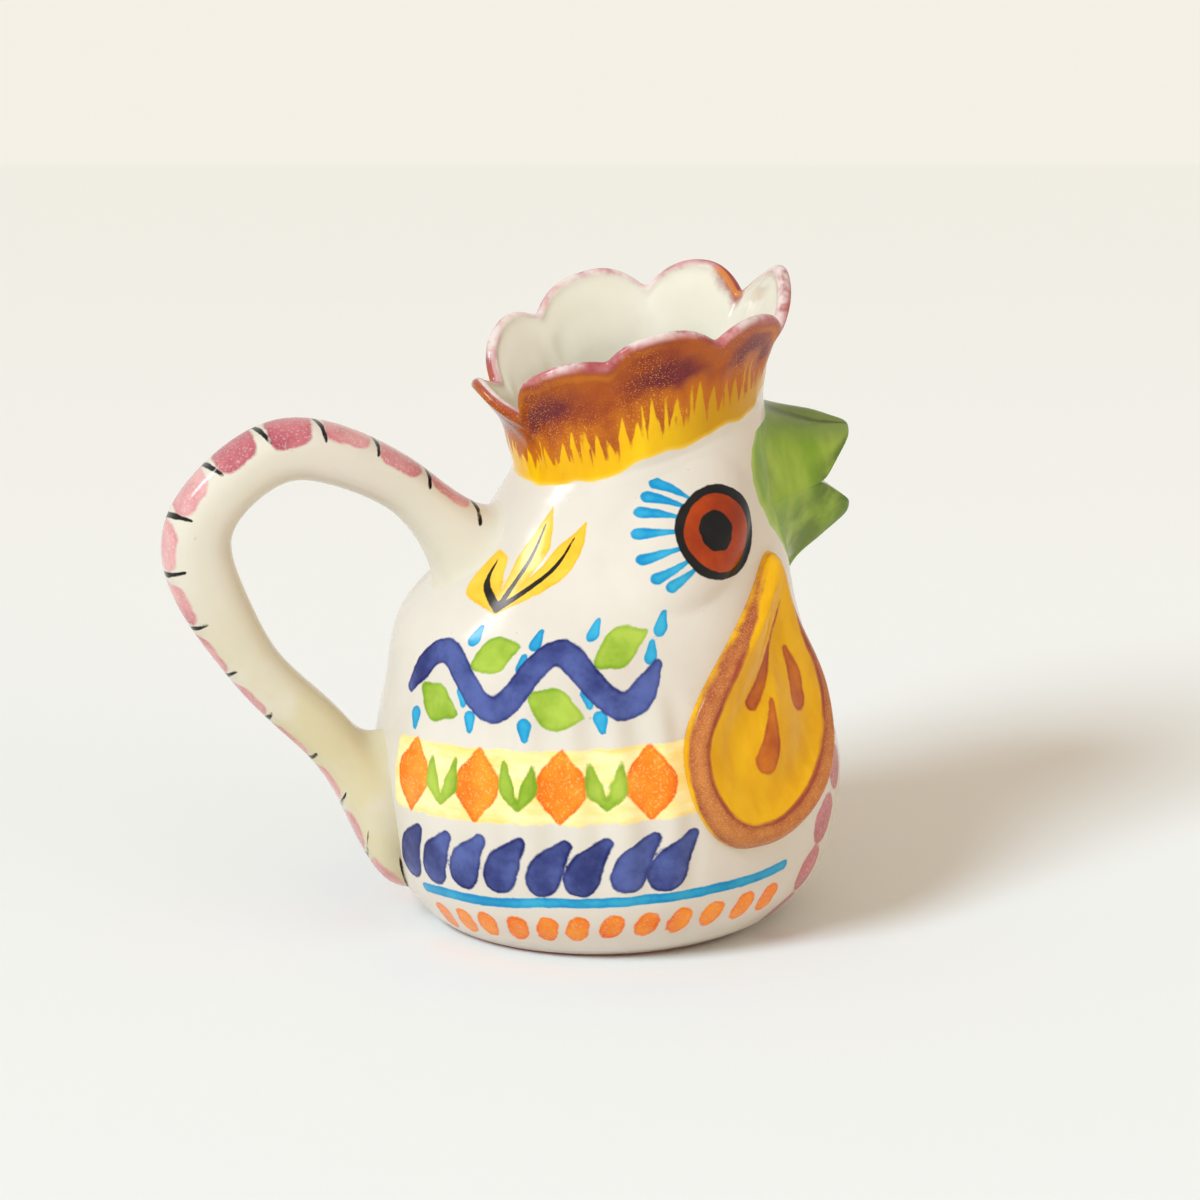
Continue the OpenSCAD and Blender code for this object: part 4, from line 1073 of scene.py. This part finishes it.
def comb_glaze():
    """Yellow flames under red-brown, with dark clouds in the lobes and a dusty mauve lip."""
    g = Graph("comb_flame_glaze")
    crest, around, height = g.attribute("crest"), g.attribute("around"), g.attribute("height")
    drawn = g.combine(g.math("MULTIPLY", around, 1.6), g.math("MULTIPLY", height, 0.14))
    fine = g.noise(1.0, 3, 0.7, drawn)
    rust = g.mix(g.span(g.noise(58, 4, 0.6), 0.32, 0.68), tint(178, 88, 24), tint(144, 56, 30))
    rust = g.mix(g.span(fine, 0.52, 0.78, 0.0, 0.4), rust, tint(132, 48, 34))
    rust = g.mix(g.span(g.shaken("cloud", 60, 8.0), 2.4, -2.2, 0.0, 0.9), rust, tint(108, 32, 46))
    fire = g.shaken("fire", 240, 0.7)
    burnt = g.math("MULTIPLY", g.span(fire, 5.0, 0.2), g.span(g.noise(70, 3), 0.3, 0.62, 0.2, 0.8))
    rust = g.mix(burnt, rust, tint(196, 108, 18))
    dusty = g.span(g.noise(60, 2), 0.36, 0.65, 0.1, 0.7)
    grains = g.math("MULTIPLY", g.span(g.noise(2300, 1), 0.58, 0.68), dusty)
    rust = g.mix(grains, rust, tint(230, 156, 50))
    colour = g.mix(g.span(fire, -0.15, 0.4), gold_hem(g, white_ground(g)), rust)
    # Gold shows again under the lip, then mauve drawn along it and thinned to white on its crest
    shake = g.math("MULTIPLY", g.math("SUBTRACT", g.noise(75, 4, 0.65), 0.5), 6.0)
    # The rear lobe's lip is a thin line outside
    behind = g.span(g.math("COSINE", g.math("DIVIDE", around, float(COMB_R))), -0.75, -0.92, 0.0, 3.0)
    outside = g.math("SUBTRACT", 1.0, g.attribute("inside"))
    crest = g.math("ADD", crest, g.math("MULTIPLY", behind, outside))
    edge = g.math("ADD", crest, shake)
    under_lip = g.math("ABSOLUTE", g.math("SUBTRACT", edge, 5.6))
    patchy = g.span(g.noise(34, 2), 0.42, 0.62, 0.0, 0.6)
    colour = g.mix(g.math("MULTIPLY", g.span(under_lip, 1.6, 0.2), patchy), colour, tint(204, 118, 30))
    mauve = g.mix(g.span(g.noise(110, 3), 0.35, 0.68), tint(186, 104, 106), tint(146, 56, 66))
    colour = g.mix(g.span(edge, 5.0, 2.0, 0.0, 0.92), colour, mauve)
    blush = g.mix(g.span(g.noise(120, 3), 0.35, 0.7), tint(208, 148, 148), tint(170, 84, 98))
    inside = g.mix(g.span(edge, 3.2, 1.1, 0.0, 0.85), inner_ground(g), blush)
    stain = g.span(g.math("ADD", g.attribute("stain"), shake), 4.0, 1.0, 0.0, 0.9)
    inside = g.mix(stain, inside, g.mix(g.span(crest, 1.5, 4.0), tint(204, 118, 40), tint(150, 50, 56)))
    colour = g.mix(g.attribute("inside"), colour, inside)
    worn = g.math("MULTIPLY", g.span(crest, 4.2, 0.6), g.span(g.noise(48, 4, 0.65), 0.42, 0.57))
    worn = g.math("MULTIPLY", worn, g.span(g.attribute("stain"), 4.0, 8.0))
    colour = g.mix(g.math("MULTIPLY", worn, 0.88), colour, tint(228, 214, 204))
    return g.glaze(colour, rough=(0.1, 0.22))


def wattle_glaze():
    """Amber with a speckled brown band inside a maroon line, and brown strokes."""
    g = Graph("wattle_amber_glaze")
    streak = g.noise(95, 4, 0.6, g.stretch(g.place, (1, 1, 0.45)))
    amber = g.mix(g.span(streak, 0.3, 0.7), tint(234, 176, 16), tint(220, 156, 6))
    amber = g.mix(g.span(g.noise(40, 2), 0.5, 0.75, 0.0, 0.5), amber, tint(206, 142, 10))
    inside = g.shaken("band", 110, 1.3)
    band = g.span(inside, 0.35, -0.35, 0.0, 0.92)
    mottle = g.span(g.noise(150, 4, 0.7), 0.34, 0.68, 0.0, 0.5)
    depth = g.math("ADD", g.span(inside, -2.2, -0.2, 0.0, 0.6), mottle)
    rust = g.mix(depth, tint(190, 114, 60), tint(148, 60, 42))
    grains = g.span(g.noise(2300, 1), 0.5, 0.7, 0.0, 0.35)
    colour = g.mix(band, amber, g.mix(grains, rust, tint(224, 164, 116)))
    line = g.shaken("line", 110, 1.3)
    worn = g.span(g.noise(60, 3), 0.28, 0.55, 0.2, 0.85)
    colour = g.mix(g.math("MULTIPLY", g.span(line, 1.0, 0.2), worn), colour, tint(150, 54, 46))
    marks = dict(thin=tint(206, 116, 26), thick=tint(164, 66, 34), soft=0.45, ragged=0.6, pool=0.4)
    return g.glaze(brush(g, colour, "mark", **marks), rough=(0.12, 0.22))


def beak_glaze():
    """The beak's green, with a dark line along the ridge, painted shade by the mouth, and darker towards the
    bottom of the lower half.
    """
    g = Graph("beak_green_glaze")
    green = beak_wash(g)
    # Darker olive by the mouth, which is painted shade, and towards the bottom of the lower half
    dark = g.math("MULTIPLY", g.attribute("dark"), g.span(g.noise(90, 3, 0.6), 0.3, 0.62, 0.1, 0.9))
    green = g.mix(dark, green, tint(86, 110, 40))
    worn = g.span(g.noise(50, 2), 0.35, 0.6, 0.2, 0.8)
    line = g.math("MULTIPLY", g.span(g.shaken("edge", 160, 0.5), 0.9, 0.1), worn)
    return g.glaze(g.mix(line, green, tint(70, 84, 40)))


def bare_clay():
    """Red earthenware, matt and sandy."""
    g = Graph("bare_red_clay")
    clay = g.mix(g.span(g.noise(60, 4), 0.3, 0.7), tint(196, 122, 84), tint(172, 96, 60))
    clay = g.mix(g.span(g.noise(480, 2), 0.6, 0.75, 0.0, 0.6), clay, tint(222, 178, 148))
    return g.glaze(clay, rough=(0.75, 0.9), relief=0.6)


# The object
painted = body_glaze()
DRESSED = [
    (painted, make_eye_pads()),
    (wattle_glaze(), make_wattles()),
    (beak_glaze(), make_beaks()),
    (painted, [make_body()]),
    (bare_clay(), [make_floor()]),
    (comb_glaze(), [make_comb()]),
    (handle_glaze(), [make_handle()]),
]
for material, pieces in DRESSED:
    for piece in pieces:
        piece.data.materials.append(material)

# Camera, floor and light
AZIMUTH, ELEVATION = np.radians(-14.0), np.radians(14.5)
TARGET = np.array([1.06, 0, 93.8]) * MM
FOCAL_PIXELS, FRAME_PIXELS, PIXELS_PER_MM, SENSOR = 5600, 1200, 3.43, 36
SCREEN_RIGHT = np.array([np.cos(AZIMUTH), np.sin(AZIMUTH), 0])
SCREEN_FRONT = np.array([np.sin(AZIMUTH), -np.cos(AZIMUTH), 0])
UP = np.array([0, 0, 1])
# The sky as it lights the object, and as it is seen and mirrored
SKY_LIGHT, SKY_SEEN = (0.665, 0.57, 0.465, 1), (0.86, 0.84, 0.80, 1)


def aim(obj, place, at):
    obj.location = Vector(place)
    obj.rotation_euler = (Vector(at) - Vector(place)).to_track_quat("-Z", "Y").to_euler()
    bpy.context.scene.collection.objects.link(obj)


def place_camera():
    """The photograph's view from a little above, with a long lens."""
    lens = bpy.data.cameras.new("camera")
    lens.sensor_width = SENSOR
    lens.lens = FOCAL_PIXELS / FRAME_PIXELS * SENSOR
    lens.clip_end = 50
    camera = bpy.data.objects.new("camera", lens)
    to_camera = SCREEN_FRONT * np.cos(ELEVATION) + UP * np.sin(ELEVATION)
    aim(camera, TARGET + to_camera * FOCAL_PIXELS / PIXELS_PER_MM * MM, TARGET)
    bpy.context.scene.camera = camera


def stage_floor():
    """One wide sheet of pale paper, with painted shade that darkens and warms it towards the back, and a
    warmer sheet behind its far edge.
    """
    size, far_edge = 9.0, 1.25
    mesh = bpy.data.meshes.new("paper_floor")
    corners = [(-size, -size, 0), (size, -size, 0), (size, size, 0), (-size, size, 0)]
    mesh.from_pydata(corners, [], [[0, 1, 2, 3]])
    g = Graph("pale_paper")
    sideways = g.math("MULTIPLY", g.axis(0), float(-SCREEN_FRONT[0]))
    back = g.math("SUBTRACT", sideways, g.math("MULTIPLY", g.axis(1), float(SCREEN_FRONT[1])))
    # Darker and warmer towards the back: painted shade
    near = g.mix(g.span(back, -0.3, far_edge), tint(238, 239, 237), tint(235, 232, 225))
    paper = g.mix(g.span(back, far_edge - 0.004, far_edge + 0.012), near, tint(239, 235, 227))
    g.join(paper, g.shader.inputs["Base Color"])
    g.shader.inputs["Roughness"].default_value = 0.9
    g.shader.inputs["Specular IOR Level"].default_value = 0.1
    mesh.materials.append(g.material)
    floor = bpy.data.objects.new("paper_floor", mesh)
    bpy.context.scene.collection.objects.link(floor)
    floor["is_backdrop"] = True


def studio(right, front, up):
    """A place beside the object, in metres as the camera sees it."""
    return TARGET + SCREEN_RIGHT * right + SCREEN_FRONT * front + UP * up


def sun(name, place, spread, energy, colour):
    """A broad, even light that isn't mirrored in the glaze."""
    light = bpy.data.lights.new(name, "SUN")
    light.angle = np.radians(spread)
    light.energy = energy
    light.color = colour
    lamp = bpy.data.objects.new(name, light)
    lamp.visible_glossy = False
    aim(lamp, studio(*place), TARGET)


def softbox(name, place, width, height, radiance):
    """A small panel that is only mirrored in the glaze."""
    light = bpy.data.lights.new(name, "AREA")
    light.shape = "RECTANGLE"
    light.size = width
    light.size_y = height
    light.energy = radiance * np.pi * width * height
    lamp = bpy.data.objects.new(name, light)
    lamp.visible_diffuse = False
    lamp.visible_camera = False
    aim(lamp, studio(*place), TARGET)


def studio_world():
    """A warm, even sky whose visible and mirrored side is pale."""
    world = bpy.data.worlds.new("studio")
    bpy.context.scene.world = world
    world.use_nodes = True
    tree = world.node_tree
    path = tree.nodes.new("ShaderNodeLightPath")
    seen = path.outputs["Is Camera Ray"]
    for name in ("Is Glossy Ray", "Is Transmission Ray"):
        either = tree.nodes.new("ShaderNodeMath")
        either.operation = "MAXIMUM"
        tree.links.new(seen, either.inputs[0])
        tree.links.new(path.outputs[name], either.inputs[1])
        seen = either.outputs[0]
    shade = tree.nodes.new("ShaderNodeMix")
    shade.data_type = "RGBA"
    tree.links.new(seen, shade.inputs[0])
    shade.inputs[6].default_value = SKY_LIGHT
    shade.inputs[7].default_value = SKY_SEEN
    tree.links.new(shade.outputs[2], tree.nodes["Background"].inputs["Color"])


place_camera()
stage_floor()
sun("key", place=(-1.0, 1.13, 1.1), spread=22, energy=2.9, colour=(0.68, 0.85, 1.0))
sun("fill", place=(1.0, 0.8, 0.2), spread=40, energy=0.48, colour=(1.0, 0.92, 0.84))
softbox("upper_panel", place=(-1.3, -0.1, 1.0), width=0.4, height=0.4, radiance=22.0)
studio_world()
bpy.context.scene.view_settings.view_transform = "Standard"

boxes = {"cad": cad_box, "visual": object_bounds()}
{name: [[float(c) for c in p] for p in box] for name, box in boxes.items()}
